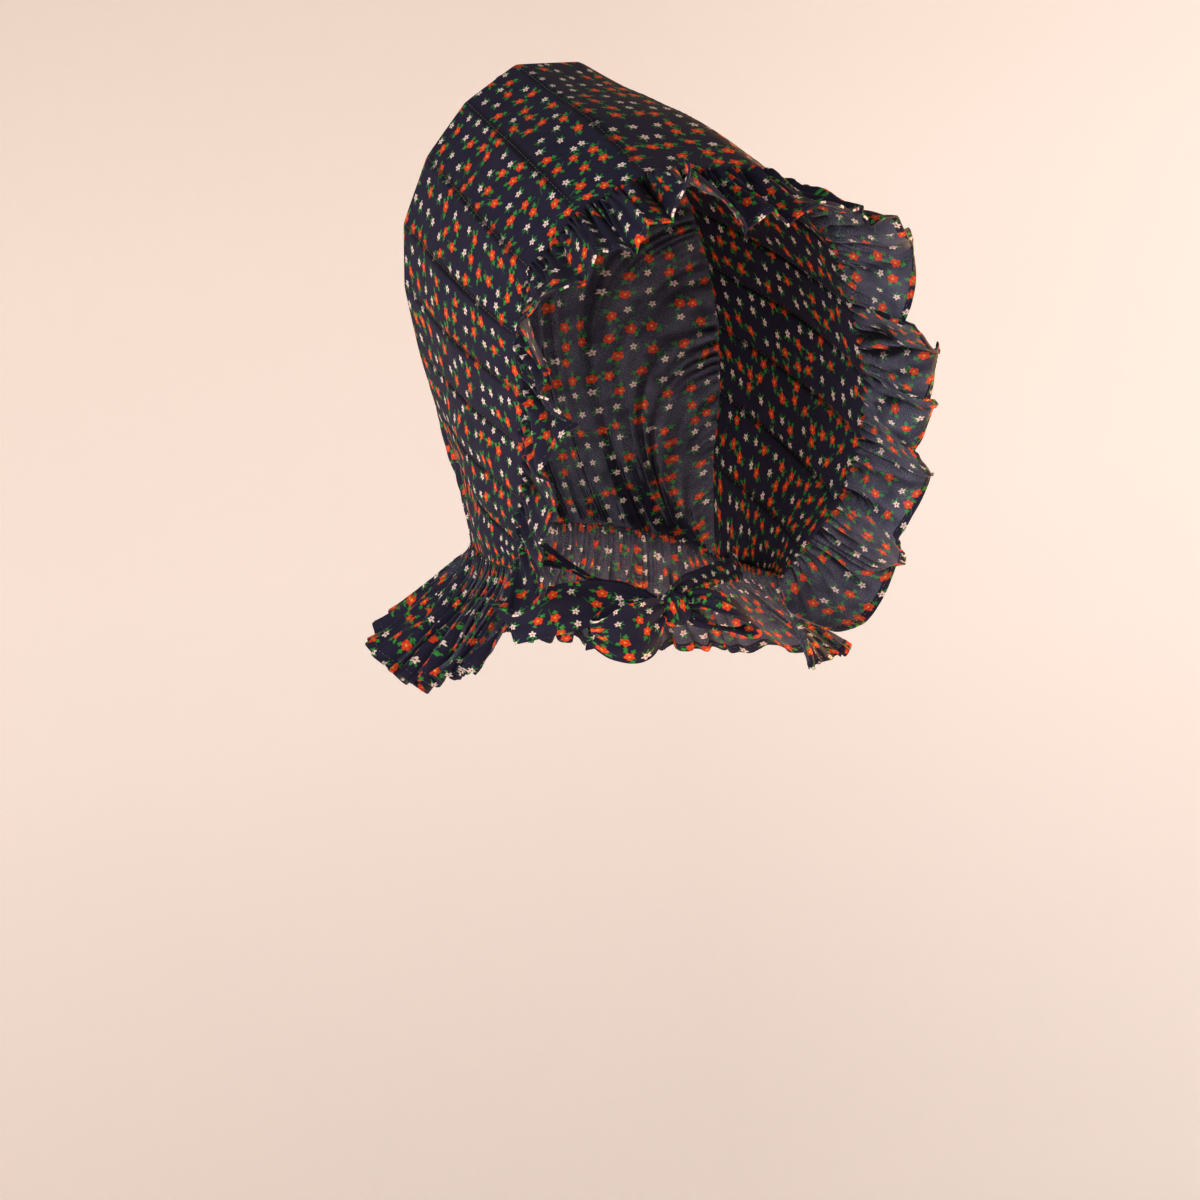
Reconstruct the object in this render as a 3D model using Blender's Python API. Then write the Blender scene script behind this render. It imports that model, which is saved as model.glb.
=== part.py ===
"""Prairie bonnet of printed cotton, in the shape that it takes on a head.

The wearer faces -Y with the left side at +X, and the origin is where the top of the head bears
against the inside. Each cloth is a grid of points worked out from the tables below, and a Solidify
modifier gives it its wall. Everything is in metres.
"""

import math
from collections import namedtuple

import bmesh
import bpy
from mathutils import Vector

# A wave along a seam: its size, how fast it swings and where it starts, in radians
Wave = namedtuple("Wave", "size speed start")

# Walls and seams
BRIM_WALL = 0.0024
CLOTH_WALL = 0.0013
TIE_WALL = 0.0015
SEAM_GAP = 0.0005
RIM_GAP = 0.0009

# The print's ground colour
NAVY = (0.021, 0.023, 0.058)

# The brim: stitched slats that run from the crown seam forward to the rim seam
SLAT_BOW = 0.0045
# Above 1, a slat bows most towards its rim end
SLAT_BOW_SKEW = 1.4
# Faces that meet at more than this many degrees show a crease
SLAT_CREASE = 12
CLOTH_CREASE = 40
ROWS_ALONG_SLAT = 7
COLUMNS_PER_PANEL = 2
HUB_BACK = Vector((0.0, 0.045, -0.078))
HUB_RIM = Vector((0.0, -0.065, -0.118))
# How far the left side hangs lower at the top and at the neckline, and where the change begins
LEFT_DROP_TOP = 0.007
LEFT_DROP_NECK = 0.024
DROP_START = -0.103

# The ruffle round the rim
RUFFLE_WIDTH = 0.045
# How far a flute leans sideways, as a share of its height
FLUTE_LEAN = 0.4
FLUTE_OPENING = 0.9
# The share of the width that the highest flute takes up
FLUTE_TAKE_UP = 0.06
# The place along a slat from which the brim's run at the rim is taken
RIM_RUN_FROM = 0.85
COLUMNS_PER_TURN = 4
ROWS_ON_RUFFLE = 4
# The even steps along the rim that the flutes' places are read from
EVEN_STEPS = 200

# The crown: a full panel that leaves the brim, goes out over the back of the head and draws in
CROWN_REACH = 0.072
CROWN_NARROWING = 0.56
CROWN_TOP_SAG = 0.06
CROWN_LOWER_REACH = 0.66
CROWN_LOWER_RISE = 0.42
CROWN_LOWER_SPREAD = 0.12
# The higher it is, the nearer to the neckline the fullness holds
CROWN_FULLNESS = 2.6
CROWN_FOLDS = 22
CROWN_FOLD_DEPTH = 0.0022
CROWN_FOLD_EASE = 0.7
CROWN_FOLD_EDGE = 6
CROWN_CENTRE = Vector((0.0, 0.0, -0.088))
# The share of the nape's half circle that the crown takes, so that its ends clear the brim
NAPE_SHARE = 0.97
COLUMNS_PER_FOLD = 4
ROWS_ON_CROWN = 7

# The neckline and the curtain below it
NAPE_REACH = 0.030
NAPE_RISE = 0.014
NECKLINE_STEP = 0.02
CURTAIN_PLEATS = 30
PLEAT_DEPTH = 0.0046
PLEAT_LEAN = 0.25
PLEAT_UNEVEN = (Wave(0.30, 23.0, 0.0),)
CURTAIN_SWING = 1.2
CURTAIN_FALL = 0.85
COLUMNS_PER_PLEAT = 4
ROWS_ON_CURTAIN = 4

# The ties and the bow
KNOT_CENTRE = Vector((-0.019, -0.044, -0.2455))
KNOT_SIZE = Vector((0.0150, 0.0130, 0.0160))
KNOT_ROUND = 0.0036
KNOT_ROUND_STEPS = 3
COLUMNS_ON_TIE = 3
ROWS_PER_STATION = 2.5
# Nearer to the knot's centre than this, a band's end is square to the knot's side
FLUSH_REACH = 0.0085

# One slat line on the left side: where it starts at the crown seam and ends at the rim seam
Slat = namedtuple("Slat", "place back_x back_y back_z rim_x rim_y rim_z")
SLATS = (
    Slat("top", 0.017, 0.032, 0.021, 0.030, -0.090, -0.0435),
    Slat("upper", 0.045, 0.0345, 0.005, 0.060, -0.078, -0.0575),
    Slat("temple", 0.066, 0.041, -0.019, 0.082, -0.066, -0.081),
    Slat("above ear", 0.080, 0.047, -0.049, 0.091, -0.062, -0.110),
    Slat("ear", 0.085, 0.046, -0.078, 0.0925, -0.063, -0.138),
    Slat("cheek", 0.084, 0.043, -0.109, 0.091, -0.055, -0.162),
    Slat("jaw", 0.079, 0.042, -0.138, 0.086, -0.037, -0.186),
    Slat("neck", 0.070, 0.043, -0.166, 0.076, -0.014, -0.206),
    Slat("neckline", 0.066, 0.048, -0.207, 0.071, -0.002, -0.219),
)
# Slat lines are numbered from 0 at the right neckline, over the top, to this one at the left
LAST_LINE = 2 * len(SLATS) - 1

# How the ruffle lies from the right end (0) over the top to the left end (1): its turn outward from
# the run of the brim in degrees, and its fall under its own weight
Lie = namedtuple("Lie", "place along flare droop")
RUFFLE_LIE = (
    Lie("right end", 0.00, 52, 0.10),
    Lie("right jaw", 0.05, 32, 0.35),
    Lie("right cheek", 0.10, 24, 0.05),
    Lie("right temple", 0.32, 20, 0.05),
    Lie("top", 0.46, 18, 0.30),
    Lie("top left", 0.56, 22, 0.40),
    Lie("left corner", 0.63, 36, 0.05),
    Lie("left temple", 0.73, 22, 0.05),
    Lie("left cheek", 0.87, 22, 0.05),
    Lie("left jaw", 0.95, 44, 0.45),
    Lie("left end", 1.00, 0, 0.30),
)

# A flute of the ruffle, from the right end (0) to the left end (1): where its crest lies and how
# high it stands outward, then where the fold after it lies and how far that swings inward
Flute = namedtuple("Flute", "crest height fold depth")
FLUTES = (
    Flute(0.020, 0.002, 0.060, 0.009),
    Flute(0.100, 0.003, 0.130, 0.008),
    Flute(0.165, 0.005, 0.210, 0.012),
    Flute(0.235, 0.002, 0.255, 0.006),
    Flute(0.280, 0.009, 0.330, 0.007),
    Flute(0.358, 0.003, 0.380, 0.006),
    Flute(0.405, 0.008, 0.425, 0.003),
    Flute(0.445, 0.017, 0.482, 0.006),
    Flute(0.502, 0.004, 0.520, 0.009),
    Flute(0.572, 0.009, 0.602, 0.001),
    Flute(0.618, 0.001, 0.640, 0.004),
    Flute(0.667, 0.004, 0.703, 0.014),
    Flute(0.747, 0.016, 0.775, 0.003),
    Flute(0.792, 0.005, 0.812, 0.014),
    Flute(0.848, 0.001, 0.890, 0.011),
    Flute(0.950, 0.009, 0.978, 0.001),
)

# The curtain from the right front edge (0) round the nape to the left front edge (1)
Flare = namedtuple("Flare", "place along out drop")
CURTAIN = (
    Flare("right front", 0.00, 0.034, 0.050),
    Flare("right side", 0.15, 0.054, 0.062),
    Flare("right back", 0.33, 0.062, 0.040),
    Flare("nape", 0.50, 0.048, 0.054),
    Flare("left back", 0.67, 0.050, 0.054),
    Flare("left side", 0.89, 0.058, 0.042),
    Flare("left front", 1.00, 0.013, 0.046),
)

# A station of a tie or bow piece: its centre from the knot, its width, and the turn of its face
# about its run, where 0 faces forward and 90 faces up
Station = namedtuple("Station", "x y z width turn")
TIE_RIGHT = (
    Station(-0.0493, 0.0500, 0.0400, 0.012, 10),
    Station(-0.0440, 0.0380, 0.0335, 0.012, 40),
    Station(-0.0300, 0.0220, 0.0200, 0.010, 60),
    Station(-0.0160, 0.0125, 0.0110, 0.010, 30),
    Station(-0.0040, 0.0080, 0.0035, 0.009, 0),
)
TIE_LEFT = (
    Station(0.0840, 0.0700, 0.0130, 0.014, 10),
    Station(0.0700, 0.0500, 0.0100, 0.013, 30),
    Station(0.0450, 0.0280, 0.0110, 0.012, 40),
    Station(0.0190, 0.0125, 0.0090, 0.011, 30),
    Station(0.0040, 0.0080, 0.0035, 0.009, 0),
)
LOOP_RIGHT = (
    Station(-0.0080, -0.0036, 0.0000, 0.010, 0),
    Station(-0.0150, -0.0070, -0.0020, 0.020, 4),
    Station(-0.0270, -0.0095, -0.0070, 0.028, 8),
    Station(-0.0390, -0.0085, -0.0070, 0.023, 6),
    Station(-0.0470, -0.0040, -0.0045, 0.012, 0),
    Station(-0.0400, 0.0000, -0.0045, 0.018, -2),
    Station(-0.0280, 0.0010, -0.0030, 0.022, -2),
    Station(-0.0150, 0.0000, -0.0010, 0.016, 0),
    Station(-0.0080, -0.0012, 0.0000, 0.009, 0),
)
LOOP_LEFT = (
    Station(0.0080, -0.0020, 0.0035, 0.008, 0),
    Station(0.0150, -0.0050, 0.0025, 0.011, 25),
    Station(0.0245, -0.0075, -0.0015, 0.013, 35),
    Station(0.0340, -0.0070, -0.0075, 0.014, 40),
    Station(0.0400, -0.0045, -0.0150, 0.013, 55),
    Station(0.0350, -0.0020, -0.0170, 0.012, 70),
    Station(0.0250, -0.0010, -0.0130, 0.011, 70),
    Station(0.0150, -0.0010, -0.0080, 0.010, 40),
    Station(0.0080, -0.0010, -0.0040, 0.007, 0),
)
TAIL_RIGHT = (
    Station(-0.0080, 0.0016, 0.0000, 0.008, 0),
    Station(-0.0180, 0.0055, 0.0045, 0.016, 4),
    Station(-0.0330, 0.0105, 0.0080, 0.021, 2),
    Station(-0.0480, 0.0160, 0.0080, 0.023, -4),
    Station(-0.0610, 0.0240, 0.0070, 0.023, 4),
    Station(-0.0715, 0.0335, 0.0050, 0.022, 0),
)
TAIL_LEFT = (
    Station(-0.0080, 0.0042, -0.0038, 0.005, 0),
    Station(-0.0130, 0.0090, -0.0050, 0.009, 5),
    Station(-0.0205, 0.0145, -0.0060, 0.012, 0),
    Station(-0.0280, 0.0185, -0.0065, 0.013, -5),
    Station(-0.0350, 0.0220, -0.0070, 0.013, 0),
)


def clear_scene():
    for thing in list(bpy.data.objects):
        bpy.data.objects.remove(thing)


def smooth_step(value):
    value = min(max(value, 0.0), 1.0)
    return value * value * (3 - 2 * value)


def swell(waves, at):
    return sum(wave.size * math.sin(wave.speed * at + wave.start) for wave in waves)


def read_table(rows, at, column):
    """The value of a column at a place along the rows, eased from row to row."""
    for before, after in zip(rows, rows[1:]):
        if at <= after.along:
            share = smooth_step((at - before.along) / (after.along - before.along))
            first, last = getattr(before, column), getattr(after, column)
            return first + (last - first) * share
    return getattr(rows[-1], column)


def hang_left_lower(point):
    """The left side hangs lower towards the neckline, since the head leans to the right."""
    neckline = SLATS[-1]
    across = (point.x + neckline.rim_x) / (2 * neckline.rim_x)
    share = smooth_step((DROP_START - point.z) / (DROP_START - neckline.rim_z))
    drop = LEFT_DROP_TOP + (LEFT_DROP_NECK - LEFT_DROP_TOP) * share
    return Vector((point.x, point.y, point.z - drop * across))


def outward_of(point):
    """Away from the hood's hub line, and straight sideways below it."""
    share = (point.y - HUB_BACK.y) / (HUB_RIM.y - HUB_BACK.y)
    hub_z = HUB_BACK.z + (HUB_RIM.z - HUB_BACK.z) * share
    return Vector((point.x, 0.0, max(point.z - hub_z, 0.0))).normalized()


def slat_ends(index):
    """The crown end and the rim end of a slat line."""
    count = len(SLATS)
    side = -1 if index < count else 1
    slat = SLATS[count - 1 - index] if index < count else SLATS[index - count]
    back = Vector((side * slat.back_x, slat.back_y, slat.back_z))
    rim = Vector((side * slat.rim_x, slat.rim_y, slat.rim_z))
    return back, rim


def slat_point(index, along):
    """A point on a slat line, which bows outward between its two seams."""
    back, rim = slat_ends(index)
    point = back.lerp(rim, along)
    bow = SLAT_BOW * math.sin(math.pi * along**SLAT_BOW_SKEW)
    return point + outward_of(point) * bow


def brim_point(across, along):
    """across counts slat lines from 0 to LAST_LINE, and along runs from the crown to the rim."""
    index = min(int(across), LAST_LINE - 1)
    low, high = slat_point(index, along), slat_point(index + 1, along)
    return hang_left_lower(low.lerp(high, across - index))


def even_parameters(curve, start, end, count, samples=400):
    """Parameters that divide a curve into stretches of equal length."""
    steps = [start + (end - start) * i / samples for i in range(samples + 1)]
    points = [curve(step) for step in steps]
    lengths = [0.0]
    for before, after in zip(points, points[1:]):
        lengths.append(lengths[-1] + (after - before).length)
    found, place = [], 0
    for i in range(count):
        wanted = lengths[-1] * i / (count - 1)
        while place < samples - 1 and lengths[place + 1] < wanted:
            place += 1
        step = lengths[place + 1] - lengths[place]
        share = (wanted - lengths[place]) / step
        found.append(steps[place] + (steps[place + 1] - steps[place]) * min(share, 1.0))
    return found


def cotton(name, roughness=0.85):
    material = bpy.data.materials.new(name)
    material.use_nodes = True
    shader = material.node_tree.nodes["Principled BSDF"]
    shader.inputs["Base Color"].default_value = (*NAVY, 1.0)
    shader.inputs["Roughness"].default_value = roughness
    shader.inputs["Metallic"].default_value = 0.0
    return material


def add_object(name, mesh):
    mesh.materials.append(cotton(name + "_cotton"))
    thing = bpy.data.objects.new(name, mesh)
    bpy.context.scene.collection.objects.link(thing)
    return thing


def add_sheet(name, grid, wall, offset=-1, crease=CLOTH_CREASE):
    """A cloth from rows of points. Its wall is on the side that the grid's normals point away
    from (-1), or half on each side (0)."""
    columns = len(grid[0])
    corners = [point for row in grid for point in row]
    faces = []
    for r in range(len(grid) - 1):
        for c in range(columns - 1):
            first = r * columns + c
            faces.append((first, first + 1, first + columns + 1, first + columns))
    mesh = bpy.data.meshes.new(name)
    mesh.from_pydata(corners, [], faces)
    mesh.shade_smooth()
    mesh.set_sharp_from_angle(angle=math.radians(crease))
    thing = add_object(name, mesh)
    wall_modifier = thing.modifiers.new("wall", "SOLIDIFY")
    wall_modifier.thickness = wall
    wall_modifier.offset = offset


def make_brim():
    columns = LAST_LINE * COLUMNS_PER_PANEL
    grid = []
    for row in range(ROWS_ALONG_SLAT):
        along = row / (ROWS_ALONG_SLAT - 1)
        grid.append([brim_point(c / COLUMNS_PER_PANEL, along) for c in range(columns + 1)])
    add_sheet("brim", grid, BRIM_WALL, crease=SLAT_CREASE)


def ruffle_frame(across, length_share):
    """The seam point, and the ways down the ruffle, out of its face and along its seam."""
    seam = brim_point(across, 1.0)
    forward = (seam - brim_point(across, RIM_RUN_FROM)).normalized()
    outward = outward_of(seam)
    flare = math.radians(read_table(RUFFLE_LIE, length_share, "flare"))
    droop = read_table(RUFFLE_LIE, length_share, "droop")
    run = forward * math.cos(flare) + outward * math.sin(flare)
    run = (run + Vector((0.0, 0.0, -droop))).normalized()
    face = (outward - run * outward.dot(run)).normalized()
    start = seam + forward * RIM_GAP + outward * (BRIM_WALL / 2)
    return start, run, face, face.cross(run)


def flute_turns():
    """Where the ruffle's hem turns, and how far out it is there, from one end to the other."""
    turns = [(0.0, 0.0)]
    for flute in FLUTES:
        turns += [(flute.crest, flute.height), (flute.fold, -flute.depth)]
    return turns + [(1.0, 0.0)]


def flute_swing(length_share):
    """How far out the hem is, and how far sideways it leans there."""
    turns = flute_turns()
    for (start, first), (end, last) in zip(turns, turns[1:]):
        if length_share <= end:
            break
    share = (length_share - start) / (end - start)
    out = first + (last - first) * smooth_step(share)
    lean = FLUTE_LEAN * abs(last - first) / 2 * math.sin(2 * math.pi * share)
    return out, lean


def ruffle_point(across, length_share, down):
    start, run, face, side = ruffle_frame(across, length_share)
    out, lean = flute_swing(length_share)
    swing = face * (out * down**FLUTE_OPENING) - side * (lean * down)
    highest = max(flute.height for flute in FLUTES)
    reach = RUFFLE_WIDTH * down * (1 - FLUTE_TAKE_UP * (out / highest) ** 2)
    return start + run * reach + swing


def make_ruffle():
    shares = []
    turns = flute_turns()
    for (start, _), (end, _) in zip(turns, turns[1:]):
        shares += [start + (end - start) * k / COLUMNS_PER_TURN for k in range(COLUMNS_PER_TURN)]
    shares.append(1.0)
    evenly = even_parameters(lambda s: brim_point(s, 1.0), 0.0, LAST_LINE, EVEN_STEPS + 1)
    grid = []
    for row in range(ROWS_ON_RUFFLE):
        down = row / (ROWS_ON_RUFFLE - 1)
        line = []
        for share in shares:
            step = min(int(share * EVEN_STEPS), EVEN_STEPS - 1)
            rest = share * EVEN_STEPS - step
            across = evenly[step] + (evenly[step + 1] - evenly[step]) * rest
            line.append(ruffle_point(across, share, down))
        grid.append(line)
    add_sheet("brim_ruffle", grid, CLOTH_WALL, offset=0)


def nape_point(turn):
    """The crown's lower seam, from the right (-1) round the nape to the left (1)."""
    neckline = SLATS[-1]
    angle = turn * math.pi / 2
    x = neckline.back_x * math.sin(angle)
    y = neckline.back_y + NAPE_REACH * math.cos(angle)
    z = neckline.back_z + NAPE_RISE * math.cos(angle)
    return Vector((x, y, z))


def crown_point(across, fold_share, down):
    """Down from the brim's back seam, out over the back of the head and in to the nape."""
    turn = 2 * across / LAST_LINE - 1
    index = min(int(across), LAST_LINE - 1)
    low, high = slat_point(index, 0.0), slat_point(index + 1, 0.0)
    seam = low.lerp(high, across - index) + Vector((0.0, SEAM_GAP, 0.0))
    nape = nape_point(NAPE_SHARE * turn) + Vector((0.0, 2 * SEAM_GAP, 0.0))
    full = 1 - abs(turn) ** CROWN_FULLNESS
    reach = CROWN_REACH * full
    height = seam.z - nape.z
    over = seam + Vector((-CROWN_NARROWING * full * seam.x, reach, -CROWN_TOP_SAG * height))
    under = nape + Vector((-CROWN_LOWER_SPREAD * full * nape.x, 0.0, CROWN_LOWER_RISE * height))
    under.y += CROWN_LOWER_REACH * full * reach
    near, far = (1 - down) ** 3, down**3
    rise, fall = 3 * down * (1 - down) ** 2, 3 * down**2 * (1 - down)
    point = seam * near + over * rise + under * fall + nape * far
    gather = CROWN_FOLD_DEPTH * math.sin(math.pi * down) ** CROWN_FOLD_EASE
    gather *= 1 - abs(turn) ** CROWN_FOLD_EDGE
    away = (point - CROWN_CENTRE).normalized()
    point += away * gather * math.sin(2 * math.pi * CROWN_FOLDS * fold_share)
    return hang_left_lower(point)


def make_crown():
    count = CROWN_FOLDS * COLUMNS_PER_FOLD + 1
    places = even_parameters(lambda s: brim_point(s, 0.0), 0.0, LAST_LINE, count)
    grid = []
    for row in range(ROWS_ON_CROWN):
        down = row / (ROWS_ON_CROWN - 1)
        line = [crown_point(s, i / (count - 1), down) for i, s in enumerate(places)]
        grid.append(line[::-1])
    add_sheet("crown", grid, CLOTH_WALL)


def neckline_point(along):
    """The neckline from the right rim corner (0) round the nape to the left rim corner (3)."""
    neckline = SLATS[-1]
    if along <= 1 or along >= 2:
        side = -1 if along <= 1 else 1
        share = along if along <= 1 else 3 - along
        rim = Vector((side * neckline.rim_x, neckline.rim_y, neckline.rim_z))
        back = Vector((side * neckline.back_x, neckline.back_y, neckline.back_z))
        return rim.lerp(back, share)
    return nape_point(2 * along - 3)


def curtain_point(along, length_share, down):
    before = neckline_point(max(along - NECKLINE_STEP, 0.0))
    after = neckline_point(min(along + NECKLINE_STEP, 3.0))
    run = after - before
    out = Vector((-run.y, run.x, 0.0)).normalized()
    reach = read_table(CURTAIN, length_share, "out")
    drop = read_table(CURTAIN, length_share, "drop")
    start = neckline_point(along) + Vector((0.0, 0.0, -SEAM_GAP))
    slope = Vector((out.x * reach, out.y * reach, -drop))
    face = Vector((out.x * drop, out.y * drop, reach)).normalized()
    side = face.cross(slope).normalized()
    phase = 2 * math.pi * CURTAIN_PLEATS * length_share
    pleat = PLEAT_DEPTH * down * (1 + swell(PLEAT_UNEVEN, length_share))
    point = start + Vector((out.x * reach, out.y * reach, 0.0)) * down**CURTAIN_SWING
    point.z -= drop * down**CURTAIN_FALL
    point += face * (pleat * math.sin(phase))
    point += side * (PLEAT_LEAN * PLEAT_DEPTH * down * math.sin(2 * phase))
    return hang_left_lower(point)


def make_curtain():
    count = CURTAIN_PLEATS * COLUMNS_PER_PLEAT + 1
    places = even_parameters(neckline_point, 0.0, 3.0, count)
    grid = []
    for row in range(ROWS_ON_CURTAIN):
        down = row / (ROWS_ON_CURTAIN - 1)
        grid.append([curtain_point(s, i / (count - 1), down) for i, s in enumerate(places)])
    add_sheet("neck_curtain", grid, CLOTH_WALL)


def eased(stations, column, at):
    """A Catmull-Rom curve through one column of the stations."""
    last = len(stations) - 1
    index = min(int(at), last - 1)
    share = at - index
    rows = [min(max(index + k, 0), last) for k in (-1, 0, 1, 2)]
    a, b, c, d = (getattr(stations[row], column) for row in rows)
    bend = (2 * a - 5 * b + 4 * c - d) * share**2 + (3 * b - a - 3 * c + d) * share**3
    return 0.5 * (2 * b + (c - a) * share + bend)


def ribbon_grid(stations):
    """A flat band about the knot, through its stations from first to last."""
    last = len(stations) - 1
    steps = int(last * ROWS_PER_STATION)
    centres = []
    for i in range(steps + 1):
        at = last * i / steps
        centres.append(Vector([eased(stations, column, at) for column in "xyz"]))
    grid = []
    for i, centre in enumerate(centres):
        run = (centres[min(i + 1, steps)] - centres[max(i - 1, 0)]).normalized()
        if abs(centre.x) < FLUSH_REACH:
            run = Vector((math.copysign(1.0, run.x), 0.0, 0.0))
        turn = math.radians(eased(stations, "turn", last * i / steps))
        upright = Vector((0.0, math.sin(turn), math.cos(turn)))
        across = (upright - run * upright.dot(run)).normalized()
        half = eased(stations, "width", last * i / steps) / 2
        row = []
        for c in range(COLUMNS_ON_TIE + 1):
            share = 2 * c / COLUMNS_ON_TIE - 1
            row.append(KNOT_CENTRE + centre + across * (half * share))
        grid.append(row)
    return grid


def make_ribbon(name, stations):
    add_sheet(name, ribbon_grid(stations), TIE_WALL, offset=0)


def make_knot():
    mesh = bpy.data.meshes.new("bow_knot")
    shape = bmesh.new()
    bmesh.ops.create_cube(shape, size=1.0)
    bmesh.ops.scale(shape, vec=KNOT_SIZE, verts=shape.verts)
    shape.to_mesh(mesh)
    shape.free()
    mesh.shade_smooth()
    knot = add_object("bow_knot", mesh)
    knot.location = KNOT_CENTRE
    rounded = knot.modifiers.new("rounded", "BEVEL")
    rounded.width = KNOT_ROUND
    rounded.segments = KNOT_ROUND_STEPS


def make_bonnet():
    clear_scene()
    make_brim()
    make_ruffle()
    make_crown()
    make_curtain()
    make_ribbon("tie_right", TIE_RIGHT)
    make_ribbon("tie_left", TIE_LEFT)
    make_knot()
    make_ribbon("bow_loop_right", LOOP_RIGHT)
    make_ribbon("bow_loop_left", LOOP_LEFT)
    make_ribbon("bow_tail_right", TAIL_RIGHT)
    make_ribbon("bow_tail_left", TAIL_LEFT)


make_bonnet()
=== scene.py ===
import math
from collections import namedtuple

import bpy
import numpy as np
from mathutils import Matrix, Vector, noise


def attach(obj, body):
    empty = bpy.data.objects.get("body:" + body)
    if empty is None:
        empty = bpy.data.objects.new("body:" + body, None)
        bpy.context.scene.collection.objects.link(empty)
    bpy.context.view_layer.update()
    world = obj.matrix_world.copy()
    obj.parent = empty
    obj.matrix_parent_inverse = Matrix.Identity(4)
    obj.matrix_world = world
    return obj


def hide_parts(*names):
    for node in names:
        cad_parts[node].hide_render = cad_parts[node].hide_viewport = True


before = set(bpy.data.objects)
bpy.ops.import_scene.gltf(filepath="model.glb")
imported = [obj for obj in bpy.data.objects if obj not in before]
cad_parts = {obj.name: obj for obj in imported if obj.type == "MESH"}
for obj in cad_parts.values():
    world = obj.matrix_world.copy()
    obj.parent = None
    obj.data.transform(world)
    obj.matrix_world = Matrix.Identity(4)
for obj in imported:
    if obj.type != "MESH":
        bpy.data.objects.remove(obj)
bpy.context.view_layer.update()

# The wearer faces -Y with the left side at +X, and the origin is where the top of the head bears
# against the inside. Each cloth is a fine grid over the same tables as the solids, in metres.

# Sizes shared with the solids
Wave = namedtuple("Wave", "size speed start")
Slat = namedtuple("Slat", "place back_x back_y back_z rim_x rim_y rim_z")
Lie = namedtuple("Lie", "place along flare droop")
Flute = namedtuple("Flute", "crest height fold depth")
Flare = namedtuple("Flare", "place along out drop")
Station = namedtuple("Station", "x y z width turn")


def table(kind, *rows):
    """Rows of one kind, with its fields as their columns."""
    return tuple(kind(*row) for row in rows)


BRIM_WALL = 0.0024
# How far each cloth's edge is tucked into the seam that holds it
SEAM_TUCK = 0.0012
SLAT_BOW = 0.0045
SLAT_BOW_SKEW = 1.4
HUB_BACK = Vector((0.0, 0.045, -0.078))
HUB_RIM = Vector((0.0, -0.065, -0.118))
LEFT_DROP_TOP = 0.007
LEFT_DROP_NECK = 0.024
DROP_START = -0.103
RUFFLE_WIDTH = 0.045
FLUTE_LEAN = 0.4
FLUTE_OPENING = 0.9
FLUTE_TAKE_UP = 0.06
RIM_RUN_FROM = 0.85
CROWN_REACH = 0.072
CROWN_NARROWING = 0.56
CROWN_TOP_SAG = 0.06
CROWN_LOWER_REACH = 0.66
CROWN_LOWER_RISE = 0.42
CROWN_LOWER_SPREAD = 0.12
CROWN_FULLNESS = 2.6
CROWN_FOLDS = 22
CROWN_FOLD_DEPTH = 0.0022
CROWN_FOLD_EASE = 0.7
CROWN_FOLD_EDGE = 6
CROWN_CENTRE = Vector((0.0, 0.0, -0.088))
NAPE_SHARE = 0.97
NAPE_REACH = 0.030
NAPE_RISE = 0.014
NECKLINE_STEP = 0.02
CURTAIN_PLEATS = 30
PLEAT_DEPTH = 0.0046
PLEAT_LEAN = 0.25
PLEAT_UNEVEN = (Wave(0.30, 23.0, 0.0),)
CURTAIN_SWING = 1.2
CURTAIN_FALL = 0.85
KNOT_CENTRE = Vector((-0.019, -0.044, -0.2455))
KNOT_SIZE = Vector((0.0150, 0.0130, 0.0160))
FLUSH_REACH = 0.0085

SLATS = table(
    Slat,
    ("top", 0.017, 0.032, 0.021, 0.03, -0.09, -0.0435),
    ("upper", 0.045, 0.0345, 0.005, 0.06, -0.078, -0.0575),
    ("temple", 0.066, 0.041, -0.019, 0.082, -0.066, -0.081),
    ("above ear", 0.08, 0.047, -0.049, 0.091, -0.062, -0.11),
    ("ear", 0.085, 0.046, -0.078, 0.0925, -0.063, -0.138),
    ("cheek", 0.084, 0.043, -0.109, 0.091, -0.055, -0.162),
    ("jaw", 0.079, 0.042, -0.138, 0.086, -0.037, -0.186),
    ("neck", 0.07, 0.043, -0.166, 0.076, -0.014, -0.206),
    ("neckline", 0.066, 0.048, -0.207, 0.071, -0.002, -0.219),
)
LAST_LINE = 2 * len(SLATS) - 1
RUFFLE_LIE = table(
    Lie,
    ("right end", 0.0, 52, 0.1),
    ("right jaw", 0.05, 32, 0.35),
    ("right cheek", 0.1, 24, 0.05),
    ("right temple", 0.32, 20, 0.05),
    ("top", 0.46, 18, 0.3),
    ("top left", 0.56, 22, 0.4),
    ("left corner", 0.63, 36, 0.05),
    ("left temple", 0.73, 22, 0.05),
    ("left cheek", 0.87, 22, 0.05),
    ("left jaw", 0.95, 44, 0.45),
    ("left end", 1.0, 0, 0.3),
)
FLUTES = table(
    Flute,
    (0.02, 0.002, 0.06, 0.009),
    (0.1, 0.003, 0.13, 0.008),
    (0.165, 0.005, 0.21, 0.012),
    (0.235, 0.002, 0.255, 0.006),
    (0.28, 0.009, 0.33, 0.007),
    (0.358, 0.003, 0.38, 0.006),
    (0.405, 0.008, 0.425, 0.003),
    (0.445, 0.017, 0.482, 0.006),
    (0.502, 0.004, 0.52, 0.009),
    (0.572, 0.009, 0.602, 0.001),
    (0.618, 0.001, 0.64, 0.004),
    (0.667, 0.004, 0.703, 0.014),
    (0.747, 0.016, 0.775, 0.003),
    (0.792, 0.005, 0.812, 0.014),
    (0.848, 0.001, 0.89, 0.011),
    (0.95, 0.009, 0.978, 0.001),
)
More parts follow.
